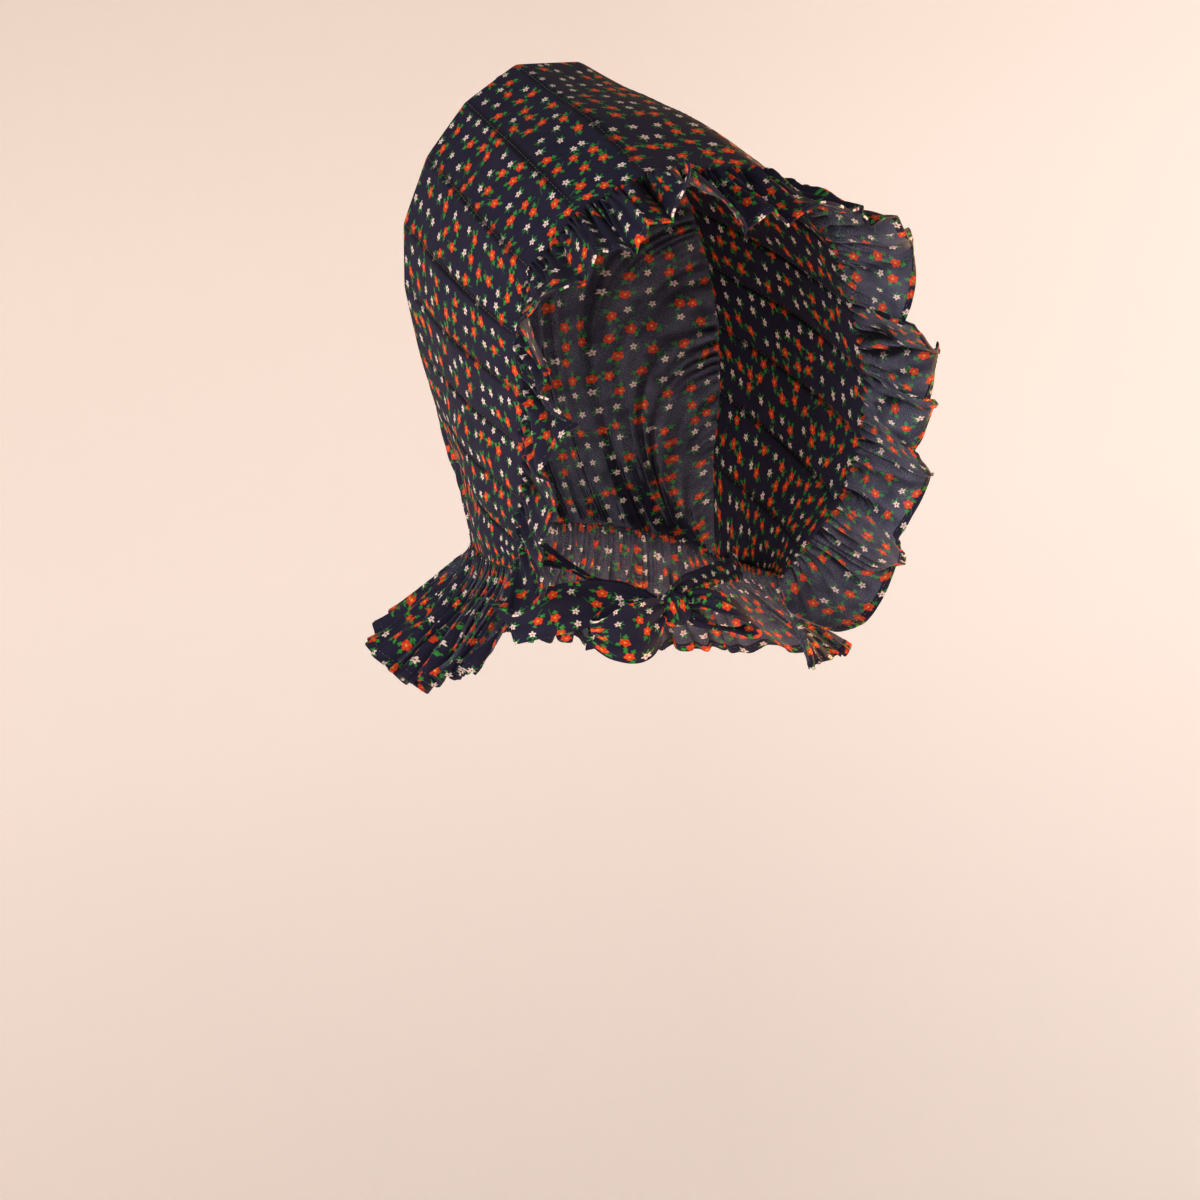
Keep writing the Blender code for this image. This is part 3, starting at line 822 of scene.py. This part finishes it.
def make_hood():
    across = [i + f for i in range(LAST_LINE) for f in CHANNEL] + [float(LAST_LINE)]
    along = brim_rows()
    skin = np.array([[brim_point(a, s) for a in across] for s in along])
    normals = -grid_normals(skin)
    lengths = path_lengths(skin[len(along) // 2])
    half = np.empty(skin.shape[:2])
    shift = np.empty(skin.shape[:2])
    painted_shade = np.empty(skin.shape[:2])
    for c, place in enumerate(across):
        share = place - int(place) if place < LAST_LINE else 0.0
        line = round(place)
        off = abs(lengths[c] - np.interp(line, across, lengths))
        pinch = PINCH * math.exp(-((off / PINCH_WIDTH) ** 2))
        pillow = PILLOW * (1 - abs(2 * share - 1) ** 3)
        for r, s in enumerate(along):
            inner = math.sin(math.pi * s) ** 0.5
            edge = min(min(s, 1 - s) / 0.018, 1.0)
            round_off = math.sqrt(max(1 - (1 - edge) ** 2, 0.0))
            half[r, c] = (BRIM_WALL / 2) * (0.35 + 0.65 * round_off) + (pillow - pinch) * inner
            # Painted shade: dark along each stitched slat line and at the brim's front and back
            # seams
            shade = 1.25 * math.exp(-((off / LINE_SHADE_WIDTH) ** 2))
            painted_shade[r, c] = shade * inner + 0.35 * (1 - edge)
            pucker = PUCKER * math.sin(2 * math.pi * s / PUCKER_LENGTH + 5 * wander(line, s * 4))
            shift[r, c] = pucker * math.exp(-off / PUCKER_REACH) * inner
            shift[r, c] += drift(HOOD_SWAY, place, s) * inner
            shift[r, c] += drift(HOOD_CRUMPLE, place, s) * inner
            for fold in CHEEK_FOLDS:
                swing = (place - fold.across - 0.25 * (s - 0.5)) / fold.width
                shift[r, c] += fold.height * math.exp(-(swing**2)) * math.sin(math.pi * s) ** 1.2
    middle = skin + normals * (shift + BRIM_WALL / 2)[..., None]
    depth = path_lengths(skin[:, len(across) // 2])
    uv = np.stack(np.meshgrid(lengths, depth), axis=2)
    hood, lifted = make_cloth("hood", "brim", middle, half, uv, FACE, painted_shade, painted_shade, sharp=75,
                              flip=True)
    lines = []
    inside = slice(3, -3)
    for line in range(1, LAST_LINE):
        c = across.index(float(line))
        for side in (1, -1):
            lift = lifted[inside, c] * side
            path = middle[inside, c] + lift * (half[inside, c][:, None] + SLAT_STITCH_LIFT)
            lines.append((path, lift))
    stitching = make_stitches("hood_stitching", lines)


# The ruffle
RUFFLE_COLUMNS = 960
# The share of a hem's path that is left once its finest crumples are smoothed out
SMOOTHED_SHARE = 0.90
RUFFLE_GATHERS = 150
GATHER_HEIGHT = 0.0017
GATHER_FADE = 0.26
GATHER_BEND = Drift(30, 0.7, 0.0, 1.5)
GATHER_DRIFT = Drift(60, 1.0, 9.0, 0.6)
RUFFLE_FOLDS = 74
FOLD_HEIGHT = 0.0030
FOLD_FADE = 0.45
FOLD_BEND = Drift(19, 0.5, 2.0, 1.6)
FOLD_DRIFT = Drift(40, 0.6, 6.0, 1.0)
# The ruffle's loose waves, its crumples and its finest unevenness
RUFFLE_SWAY = Drift(34, 1.3, 11.0, 0.0026)
RUFFLE_CRUMPLE = Drift(62, 2.4, 1.0, 0.0017)
RUFFLE_GRAIN = Drift(120, 3.4, 5.0, 0.0006)
# Where the ruffle's hem rolls back: the place along the rim, how far to each side it reaches and
# how far the hem turns, in degrees, outward where that is above 0
Roll = namedtuple("Roll", "place width turn")
ROLLS = table(
    Roll,
    (0.04, 0.03, 40),
    (0.215, 0.018, -50),
    (0.3, 0.02, 20),
    (0.395, 0.015, -45),
    (0.45, 0.013, 80),
    (0.54, 0.012, 40),
    (0.672, 0.024, 115),
    (0.752, 0.018, 150),
    (0.795, 0.014, 130),
    (0.85, 0.022, 125),
    (0.945, 0.026, 105),
)
ROLL_START = 0.66
ROLL_DRIFT = Drift(21, 0.0, 4.0, math.radians(20))
# The grid's rows, from the seam (0) to the hem (1)
RUFFLE_ROWS = (*np.linspace(0.0, 0.30, 10), *np.linspace(0.34, 0.88, 16),
               0.915, 0.94, 0.965, 0.985, 1)
# How the left end spreads over the curtain's front edge, and is drawn in to the neckline seam
END_SPREAD = Vector((0.006, -0.003, -0.006))
END_TUCK = Vector((-0.003, 0.010, -0.006))


def ruffle_point(across, length_share, down):
    """A point of the ruffle, and the shade to paint on it for its gathers, folds and flutes: above
    0 where it stands out, below 0 where it sinks in.
    """
    start, run, face, side = ruffle_frame(across, length_share)
    out, lean = flute_swing(length_share)
    swing = face * (out * down**FLUTE_OPENING) - side * (lean * down)
    near_end = smooth_step((length_share - 0.95) / 0.05)
    swing += (END_SPREAD * down + END_TUCK * math.sin(math.pi * down**0.7)) * near_end
    highest = max(flute.height for flute in FLUTES)
    reach = RUFFLE_WIDTH * down * (1 - FLUTE_TAKE_UP * (out / highest) ** 2)
    height = drift(RUFFLE_SWAY, length_share, down) * down**0.8
    height += drift(RUFFLE_CRUMPLE, length_share, down) * down * (1.3 - down)
    height += drift(RUFFLE_GRAIN, length_share, down)
    turn = drift(ROLL_DRIFT, length_share, down)
    for roll in ROLLS:
        off = (length_share - roll.place) / roll.width
        turn += math.radians(roll.turn) * math.exp(-(off**2))
    if down > ROLL_START and abs(turn) > 0.01:
        part = (down - ROLL_START) / (1 - ROLL_START)
        rolled = RUFFLE_WIDTH * (1 - ROLL_START)
        reach += rolled * (math.sin(turn * part) / turn - part)
        height += rolled * (1 - math.cos(turn * part)) / turn
    wave = ripple(RUFFLE_GATHERS, length_share, drift(GATHER_BEND, length_share, down))
    fine = math.exp(-down / GATHER_FADE) * min(down / 0.02, 1.0) * wave
    fine *= 0.9 + drift(GATHER_DRIFT, length_share, down)
    wave = ripple(RUFFLE_FOLDS, length_share, drift(FOLD_BEND, length_share, down))
    fold = math.exp(-max(down - 0.12, 0.0) / FOLD_FADE) * min(down / 0.12, 1.0) * wave
    fold *= 0.7 + drift(FOLD_DRIFT, length_share, down)
    height += GATHER_HEIGHT * fine + FOLD_HEIGHT * fold
    # Painted shade for the gathers, the folds and the flutes' depth near the seam
    shade = 0.9 * fine + 1.35 * fold
    shade += 1.2 * (out / highest) * (1 - down) * min(down / 0.1, 1.0)
    return start + run * reach + swing + face * height, shade


def make_ruffle():
    places = even_parameters(lambda s: brim_point(s, 1.0), 0.0, LAST_LINE, RUFFLE_COLUMNS)
    rows = np.array(RUFFLE_ROWS)
    middle, gathers = lay_rows(ruffle_point, places, rows)
    lengths = path_lengths(middle[-1]) * SMOOTHED_SHARE
    uv = np.stack(np.meshgrid(lengths, rows * RUFFLE_WIDTH), axis=2)
    half = np.full(middle.shape[:2], RUFFLE_HALF)
    # Painted shade: dark along the seam, and on whichever side of each gather and fold lies in a
    # hollow
    seam = np.exp(-rows / 0.05)[:, None] * 0.8
    ruffle, normals = make_cloth("ruffle", "brim_ruffle", middle, half, uv, BACK,
                                 np.maximum(-gathers, 0) + seam, np.maximum(gathers, 0) + seam,
                                 HEM_ROWS, SELVEDGE_COLUMNS, flip=True)
    stitching = make_hem_stitches("ruffle_stitching", middle, normals, RUFFLE_HALF)


# The crown
CROWN_COLUMNS = 680
CROWN_ROWS = 64
CROWN_GATHERS = 96
CROWN_GATHER_HEIGHT = 0.0010
CROWN_INSET = 0.0007
CROWN_BEND = Drift(9, 1.6, 2.0, 0.45)
CROWN_FOLD_DRIFT = Drift(21, 2.1, 4.0, 0.75)
CROWN_GATHER_BEND = Drift(22, 1.3, 0.0, 1.4)
CROWN_GATHER_DRIFT = Drift(35, 2.0, 3.0, 0.8)
CROWN_CRUMPLE = Drift(30, 6.0, 8.0, 0.0016)


def crown_point(across, fold_share, down):
    turn = 2 * across / LAST_LINE - 1
    index = min(int(across), LAST_LINE - 1)
    low, high = slat_point(index, 0.0), slat_point(index + 1, 0.0)
    seam = low.lerp(high, across - index) - Vector((0.0, SEAM_TUCK, 0.0))
    nape = nape_point(NAPE_SHARE * turn)
    full = 1 - abs(turn) ** CROWN_FULLNESS
    reach = CROWN_REACH * full
    height = seam.z - nape.z
    over = seam + Vector((-CROWN_NARROWING * full * seam.x, reach, -CROWN_TOP_SAG * height))
    under = nape + Vector((-CROWN_LOWER_SPREAD * full * nape.x, 0.0, CROWN_LOWER_RISE * height))
    under.y += CROWN_LOWER_REACH * full * reach
    near, far = (1 - down) ** 3, down**3
    rise, fall = 3 * down * (1 - down) ** 2, 3 * down**2 * (1 - down)
    point = seam * near + over * rise + under * fall + nape * far
    away = (point - CROWN_CENTRE).normalized()
    open_share = 1 - abs(turn) ** CROWN_FOLD_EDGE
    gather = CROWN_FOLD_DEPTH * math.sin(math.pi * down) ** CROWN_FOLD_EASE * open_share
    swing = ripple(CROWN_FOLDS, fold_share, drift(CROWN_BEND, fold_share, down))
    swing *= 0.50 + drift(CROWN_FOLD_DRIFT, fold_share, down)
    seam_pull = math.exp(-down / 0.13) + math.exp(-(1 - down) / 0.17)
    seam_pull *= min(down / 0.02, (1 - down) / 0.02, 1.0) * open_share
    fine = ripple(CROWN_GATHERS, fold_share, drift(CROWN_GATHER_BEND, fold_share, down))
    fine *= seam_pull * (0.7 + drift(CROWN_GATHER_DRIFT, fold_share, down))
    crumple = drift(CROWN_CRUMPLE, fold_share, down) * math.sin(math.pi * down) * open_share
    point += away * (gather * swing + CROWN_GATHER_HEIGHT * fine + crumple)
    # The second value is the shade to paint for the gathers and folds
    return hang_left_lower(point), 0.8 * fine + 0.35 * swing * gather / CROWN_FOLD_DEPTH


def laid_out_dome(points):
    """Places on the print, laid out flat from the middle of the back of the head."""
    away = points - np.array(CROWN_CENTRE)
    radius = np.linalg.norm(away, axis=2)
    beside = np.linalg.norm(away[..., ::2], axis=2) + 1e-6
    from_middle = np.arccos(away[..., 1] / radius) * radius
    return away[..., ::2] * (from_middle / beside)[..., None]


def make_crown():
    places = even_parameters(lambda s: brim_point(s, 0.0), 0.0, LAST_LINE, CROWN_COLUMNS)
    even = np.linspace(0, 1, CROWN_ROWS)
    swing = np.cos(np.pi * even)
    rows = (even + 0.5 - 0.5 * swing * (0.55 + 0.45 * np.abs(swing))) / 2
    skin, gathers = lay_rows(crown_point, places, rows)
    middle = skin + grid_normals(skin) * CROWN_INSET
    half = np.full(middle.shape[:2], CROWN_HALF)
    uv = laid_out_dome(middle)
    # Painted shade in the hollows of the gathers and folds on each side
    crown, _ = make_cloth("crown_panel", "crown", middle, half, uv, BACK,
                          np.maximum(-gathers, 0), np.maximum(gathers, 0))


# The neck curtain
CURTAIN_COLUMNS = 900
CURTAIN_GATHERS = 128
CURTAIN_GATHER_HEIGHT = 0.00105
CURTAIN_GATHER_BEND = Drift(40, 0.8, 0.0, 0.9)
CURTAIN_FOLDS = 71
CURTAIN_FOLD_HEIGHT = 0.0016
CURTAIN_FOLD_BEND = Drift(17, 0.6, 3.0, 1.3)
CURTAIN_FOLD_DRIFT = Drift(33, 0.9, 5.0, 0.8)
CURTAIN_PLEAT_BEND = Drift(26, 1.2, 6.0, 0.12)
CURTAIN_PLEAT_DRIFT = Drift(11, 0.5, 8.0, 0.75)
CURTAIN_CRUMPLE = Drift(90, 2.5, 2.0, 0.0012)
CURTAIN_SWAY = Drift(28, 1.5, 12.0, 0.0022)
CURTAIN_INSET = 0.0006
CURTAIN_ROWS = (*np.linspace(0.0, 0.30, 12), *np.linspace(0.33, 0.90, 18),
                0.925, 0.945, 0.965, 0.985, 1)


def curtain_point(along, length_share, down):
    before = neckline_point(max(along - NECKLINE_STEP, 0.0))
    after = neckline_point(min(along + NECKLINE_STEP, 3.0))
    run = after - before
    out = Vector((-run.y, run.x, 0.0)).normalized()
    reach = read_table(CURTAIN, length_share, "out")
    drop = read_table(CURTAIN, length_share, "drop")
    start = neckline_point(along) + Vector((0.0, 0.0, SEAM_TUCK))
    start += out * (SEAM_TUCK * math.exp(-down / 0.06))
    slope = Vector((out.x * reach, out.y * reach, -drop))
    face = Vector((out.x * drop, out.y * drop, reach)).normalized()
    side = face.cross(slope).normalized()
    bend = drift(CURTAIN_PLEAT_BEND, length_share, down)
    phase = 2 * math.pi * (CURTAIN_PLEATS * length_share + bend)
    pleat = PLEAT_DEPTH * down * (1 + swell(PLEAT_UNEVEN, length_share))
    pleat *= 0.62 + drift(CURTAIN_PLEAT_DRIFT, length_share, down)
    near_edge = smooth_step((length_share - 0.94) / 0.06)
    swing = down ** (CURTAIN_SWING - 0.5 * near_edge)
    point = start + Vector((out.x * reach, out.y * reach, 0.0)) * swing
    point.z -= drop * down ** (CURTAIN_FALL + 0.15 * near_edge)
    point += face * (pleat * math.sin(phase))
    point += side * (PLEAT_LEAN * PLEAT_DEPTH * down * math.sin(2 * phase))
    fine = ripple(CURTAIN_GATHERS, length_share, drift(CURTAIN_GATHER_BEND, length_share, down))
    fine *= math.exp(-down / 0.50) * min(down / 0.03, 1.0)
    fold = ripple(CURTAIN_FOLDS, length_share, drift(CURTAIN_FOLD_BEND, length_share, down))
    fold *= (0.55 + drift(CURTAIN_FOLD_DRIFT, length_share, down)) * min(down / 0.25, 1.0)
    crumple = drift(CURTAIN_CRUMPLE, length_share, down) + drift(CURTAIN_SWAY, length_share, down)
    height = CURTAIN_GATHER_HEIGHT * fine + CURTAIN_FOLD_HEIGHT * fold + crumple * down
    point += face * height
    # The second value is the shade to paint for the gathers and folds
    return hang_left_lower(point), 0.42 * fine + 0.58 * fold


def make_curtain():
    places = even_parameters(neckline_point, 0.0, 3.0, CURTAIN_COLUMNS)
    rows = np.array(CURTAIN_ROWS)
    skin, gathers = lay_rows(curtain_point, places, rows)
    middle = skin - grid_normals(skin) * CURTAIN_INSET
    lengths = path_lengths(middle[-1]) * SMOOTHED_SHARE
    depth = path_lengths(middle[:, CURTAIN_COLUMNS // 2])
    uv = np.stack(np.meshgrid(lengths, depth), axis=2)
    half = np.full(middle.shape[:2], CURTAIN_HALF)
    # Painted shade: dark along the neckline seam, and in the hollows of the gathers and folds
    seam = np.exp(-rows / 0.04)[:, None] * 0.6
    curtain, normals = make_cloth("curtain", "neck_curtain", middle, half, uv, BACK,
                                  np.maximum(-gathers, 0) ** 1.3 + seam,
                                  np.maximum(gathers, 0) ** 1.3 + seam, HEM_ROWS)
    stitching = make_hem_stitches("curtain_stitching", middle, normals, CURTAIN_HALF)


# The ties and the bow
RIBBON_COLUMNS = 22
RIBBON_CREASES = 2.5
# How far each band's print is shifted against the band before it
PRINT_SHIFT = (0.037, 0.011)


def eased(stations, column, at):
    last = len(stations) - 1
    index = min(int(at), last - 1)
    share = at - index
    rows = [min(max(index + k, 0), last) for k in (-1, 0, 1, 2)]
    a, b, c, d = (getattr(stations[row], column) for row in rows)
    bend = (2 * a - 5 * b + 4 * c - d) * share**2 + (3 * b - a - 3 * c + d) * share**3
    return 0.5 * (2 * b + (c - a) * share + bend)


def ribbon_middle(stations, steps, seed, slant):
    """A band through its stations, crumpled most where it leaves the knot."""
    last = len(stations) - 1
    centres = []
    for i in range(steps + 1):
        centres.append(Vector([eased(stations, k, last * i / steps) for k in "xyz"]))
    grid = []
    for i, centre in enumerate(centres):
        at = i / steps
        run = (centres[min(i + 1, steps)] - centres[max(i - 1, 0)]).normalized()
        if abs(centre.x) < FLUSH_REACH:
            run = Vector((math.copysign(1.0, run.x), 0.0, 0.0))
        turn = math.radians(eased(stations, "turn", last * at))
        upright = Vector((0.0, math.sin(turn), math.cos(turn)))
        across = (upright - run * upright.dot(run)).normalized()
        normal = across.cross(run).normalized()
        half = eased(stations, "width", last * at) / 2
        off = min(centre.length / 0.030, 1.0)
        row = []
        for c in range(RIBBON_COLUMNS + 1):
            share = 2 * c / RIBBON_COLUMNS - 1
            wave = math.sin(math.pi * RIBBON_CREASES * share + 0.9 * wander(at * 2.3, seed))
            crease = wave * (0.0013 * (1 - off) + 0.00045)
            crease += 0.0012 * wander(at * 4.5, share * 1.3, seed) * off
            lean = slant * share * half if i > steps - 2 else 0.0
            point = KNOT_CENTRE + centre + across * (half * share)
            row.append(point + normal * crease + run * lean)
        grid.append(row)
    return np.array(grid)


def make_ribbon(name, node, stations, steps, seed, slant=0.0):
    middle = ribbon_middle(stations, steps, seed, slant)
    lengths = path_lengths(middle[:, RIBBON_COLUMNS // 2])
    width = max(station.width for station in stations)
    across = np.linspace(0, 1.25 * width, RIBBON_COLUMNS + 1) + PRINT_SHIFT[0] * seed
    uv = np.stack(np.meshgrid(across, lengths + PRINT_SHIFT[1] * seed), axis=2)
    profile = np.sin(np.linspace(0, np.pi, RIBBON_COLUMNS + 1)) ** 0.4
    half = np.tile(0.00030 + 0.00034 * profile, (steps + 1, 1))
    ribbon, _ = make_cloth(name, node, middle, half, uv, FACE, sharp=70)


KNOT_FOLDS = (Wave(0.060, 3.1 * math.pi, 0.7), Wave(0.030, 7.3 * math.pi, 0.0))
# Half the width of the knot's band, and its length for each radian round the knot
KNOT_BAND = (0.0105, 0.0075)


def make_knot():
    """The knot: a band wrapped upright round the bow's middle, with its folds."""
    steps, ring = 48, 72
    points, uv = [], []
    for i in range(steps + 1):
        share = 2 * i / steps - 1
        barrel = max(1 - abs(share) ** 3.2, 0.0) ** 0.55
        row, flat = [], []
        for j in range(ring):
            angle = 2 * math.pi * j / ring
            y, z = math.cos(angle), math.sin(angle)
            squared = (abs(y) ** 3 + abs(z) ** 3) ** (-1 / 3)
            slant = share + 0.16 * math.sin(angle + 0.5)
            fold = swell(KNOT_FOLDS, slant) * (1 - abs(share) ** 4)
            size = squared * (0.16 + 0.84 * barrel) * (0.99 + fold)
            x = share * KNOT_SIZE.x * 0.50 + 0.0005 * math.sin(2 * angle)
            row.append((x, y * size * KNOT_SIZE.y * 0.50, z * size * KNOT_SIZE.z * 0.50))
            flat.append((share * KNOT_BAND[0], angle * KNOT_BAND[1]))
        points.append(row)
        uv.append(flat)
    grid = np.array(points) + np.array(KNOT_CENTRE)
    faces = [face[::-1] for face in tube_faces(steps + 1, ring)]
    faces.append(tuple(range(ring)))
    faces.append(tuple(reversed(range(steps * ring, (steps + 1) * ring))))
    flat = np.array(uv).reshape(-1, 2)
    knot = add_piece("knot", grid.reshape(-1, 3).tolist(), faces, (FACE,), flat)
    stand_for(knot, "bow_knot")


# Camera, light and floor
AZIMUTH = math.radians(-32)
ROLL = math.radians(8)
FIT_POINT = Vector((0.0, -0.010, -0.113))
DISTANCE = 2.2
FOCAL_PX = 4620.0
IMAGE_PX = 1200
FIT_PX = (630, 329)


def make_camera():
    back = Vector((math.sin(AZIMUTH), -math.cos(AZIMUTH), 0.0))
    level = Vector((math.cos(AZIMUTH), math.sin(AZIMUTH), 0.0))
    upward = back.cross(level)
    right = level * math.cos(ROLL) - upward * math.sin(ROLL)
    up = level * math.sin(ROLL) + upward * math.cos(ROLL)
    place = FIT_POINT + back * DISTANCE
    scale = FOCAL_PX / DISTANCE
    aim = FIT_POINT - right * ((FIT_PX[0] - IMAGE_PX / 2) / scale)
    aim -= up * ((IMAGE_PX / 2 - FIT_PX[1]) / scale)
    away = (place - aim).normalized()
    side = (right - away * right.dot(away)).normalized()
    over = away.cross(side)
    data = bpy.data.cameras.new("camera")
    data.sensor_width = 36
    data.lens = 36 * FOCAL_PX / IMAGE_PX
    camera = link_object("camera", data)
    matrix = camera.matrix_world.copy()
    for i, column in enumerate((side, over, away, place)):
        for k in range(3):
            matrix[k][i] = column[k]
    camera.matrix_world = matrix
    bpy.context.scene.camera = camera
    return level, back


# A disk light: how far it stands towards the camera, to the right and up from the middle of the
# bonnet, which it faces, then its size, power and colour
Lamp = namedtuple("Lamp", "name back level up size power colour")
LAMPS = (
    Lamp("key", 1.45, -1.40, 0.18, 0.9, 26, (1.0, 0.985, 0.97)),
    Lamp("warm_side", -0.75, 1.25, -0.08, 0.6, 58, (1.0, 0.48, 0.18)),
    Lamp("fill", 1.6, 0.9, 0.2, 1.2, 8, (1.0, 0.93, 0.86)),
)
LIT_POINT = Vector((0.0, 0.0, -0.13))


def make_light(lamp, level, back):
    data = bpy.data.lights.new(lamp.name, "AREA")
    data.shape = "DISK"
    data.size = lamp.size
    data.energy = lamp.power
    data.color = lamp.colour
    light = link_object(lamp.name, data)
    place = LIT_POINT + back * lamp.back + level * lamp.level + Vector((0, 0, lamp.up))
    light.location = place
    light.rotation_euler = (LIT_POINT - place).to_track_quat("-Z", "Y").to_euler()


FLOOR_DROP = 1.15
FLOOR_RADIUS = 3.2
WALL_CURVE = 1.2
WALL_TOP = 3.2
FLOOR_RING = 96
# The paper's glow, painted light in place of the studio light falling on it: at the left, its gain
#  per metre to the right, and its loss above and below
GLOW = 0.412
GLOW_RIGHT = 0.15
GLOW_HIGH_FROM, GLOW_HIGH = -0.40, -0.16
GLOW_LOW_FROM, GLOW_LOW = -0.60, -0.15


def make_floor():
    """A round floor that sweeps up into a wall all the way round."""
    profile = [(0.0, 0.0), (2.0, 0.0), (FLOOR_RADIUS, 0.0)]
    for k in range(1, 13):
        angle = math.pi / 2 * k / 12
        radius = FLOOR_RADIUS + WALL_CURVE * math.sin(angle)
        profile.append((radius, WALL_CURVE - WALL_CURVE * math.cos(angle)))
    profile.append((FLOOR_RADIUS + WALL_CURVE, WALL_TOP))
    points = []
    for radius, height in profile:
        for j in range(FLOOR_RING):
            angle = 2 * math.pi * j / FLOOR_RING
            points.append((radius * math.cos(angle), radius * math.sin(angle), height - FLOOR_DROP))
    faces = [(a, d, c, b) for a, b, c, d in tube_faces(len(profile), FLOOR_RING)]
    material, g, shader = new_material("floor_paper")
    material.cycles.emission_sampling = "NONE"
    place = g.node("TexCoord").outputs["Object"]
    mottle, _ = g.noise(place, 1.3, 2.0)
    paper = g.mix(mottle, (0.80, 0.715, 0.65, 1), (0.84, 0.76, 0.70, 1))
    g.fill(shader, Base_Color=paper, Roughness=0.9, Emission_Color=(1.0, 0.90, 0.84, 1))
    # Painted light: the paper glows in place of lamplight on it, brighter to the right and dimmer
    # high up and low down
    across, _, height = g.split(g.turned(place, -AZIMUTH))
    across = g.math("MINIMUM", g.math("MAXIMUM", across, 0.0), 1.0)
    glow = g.linear(across, GLOW_RIGHT, GLOW)
    high = g.math("MAXIMUM", g.math("SUBTRACT", height, GLOW_HIGH_FROM), 0.0)
    glow = g.linear(high, GLOW_HIGH, glow)
    low = g.math("MAXIMUM", g.math("SUBTRACT", GLOW_LOW_FROM, height), 0.0)
    g.fill(shader, Emission_Strength=g.linear(low, GLOW_LOW, glow))
    add_piece("floor", points, faces, (material,))


def make_world():
    world = bpy.data.worlds.new("studio")
    world.use_nodes = True
    background = world.node_tree.nodes["Background"]
    background.inputs["Color"].default_value = (1.0, 0.955, 0.92, 1)
    background.inputs["Strength"].default_value = 0.10
    bpy.context.scene.world = world
    bpy.context.scene.view_settings.view_transform = "Standard"


def make_studio():
    level, back = make_camera()
    for lamp in LAMPS:
        make_light(lamp, level, back)
    make_floor()
    make_world()


make_studio()
make_hood()
make_ruffle()
make_crown()
make_curtain()
make_knot()
make_ribbon("strap_right", "tie_right", TIE_RIGHT, 70, 1)
make_ribbon("strap_left", "tie_left", TIE_LEFT, 90, 2)
make_ribbon("loop_right", "bow_loop_right", LOOP_RIGHT, 130, 3)
make_ribbon("loop_left", "bow_loop_left", LOOP_LEFT, 120, 4)
make_ribbon("tail_right", "bow_tail_right", TAIL_RIGHT, 90, 5, slant=0.4)
make_ribbon("tail_left", "bow_tail_left", TAIL_LEFT, 60, 6, slant=-0.4)
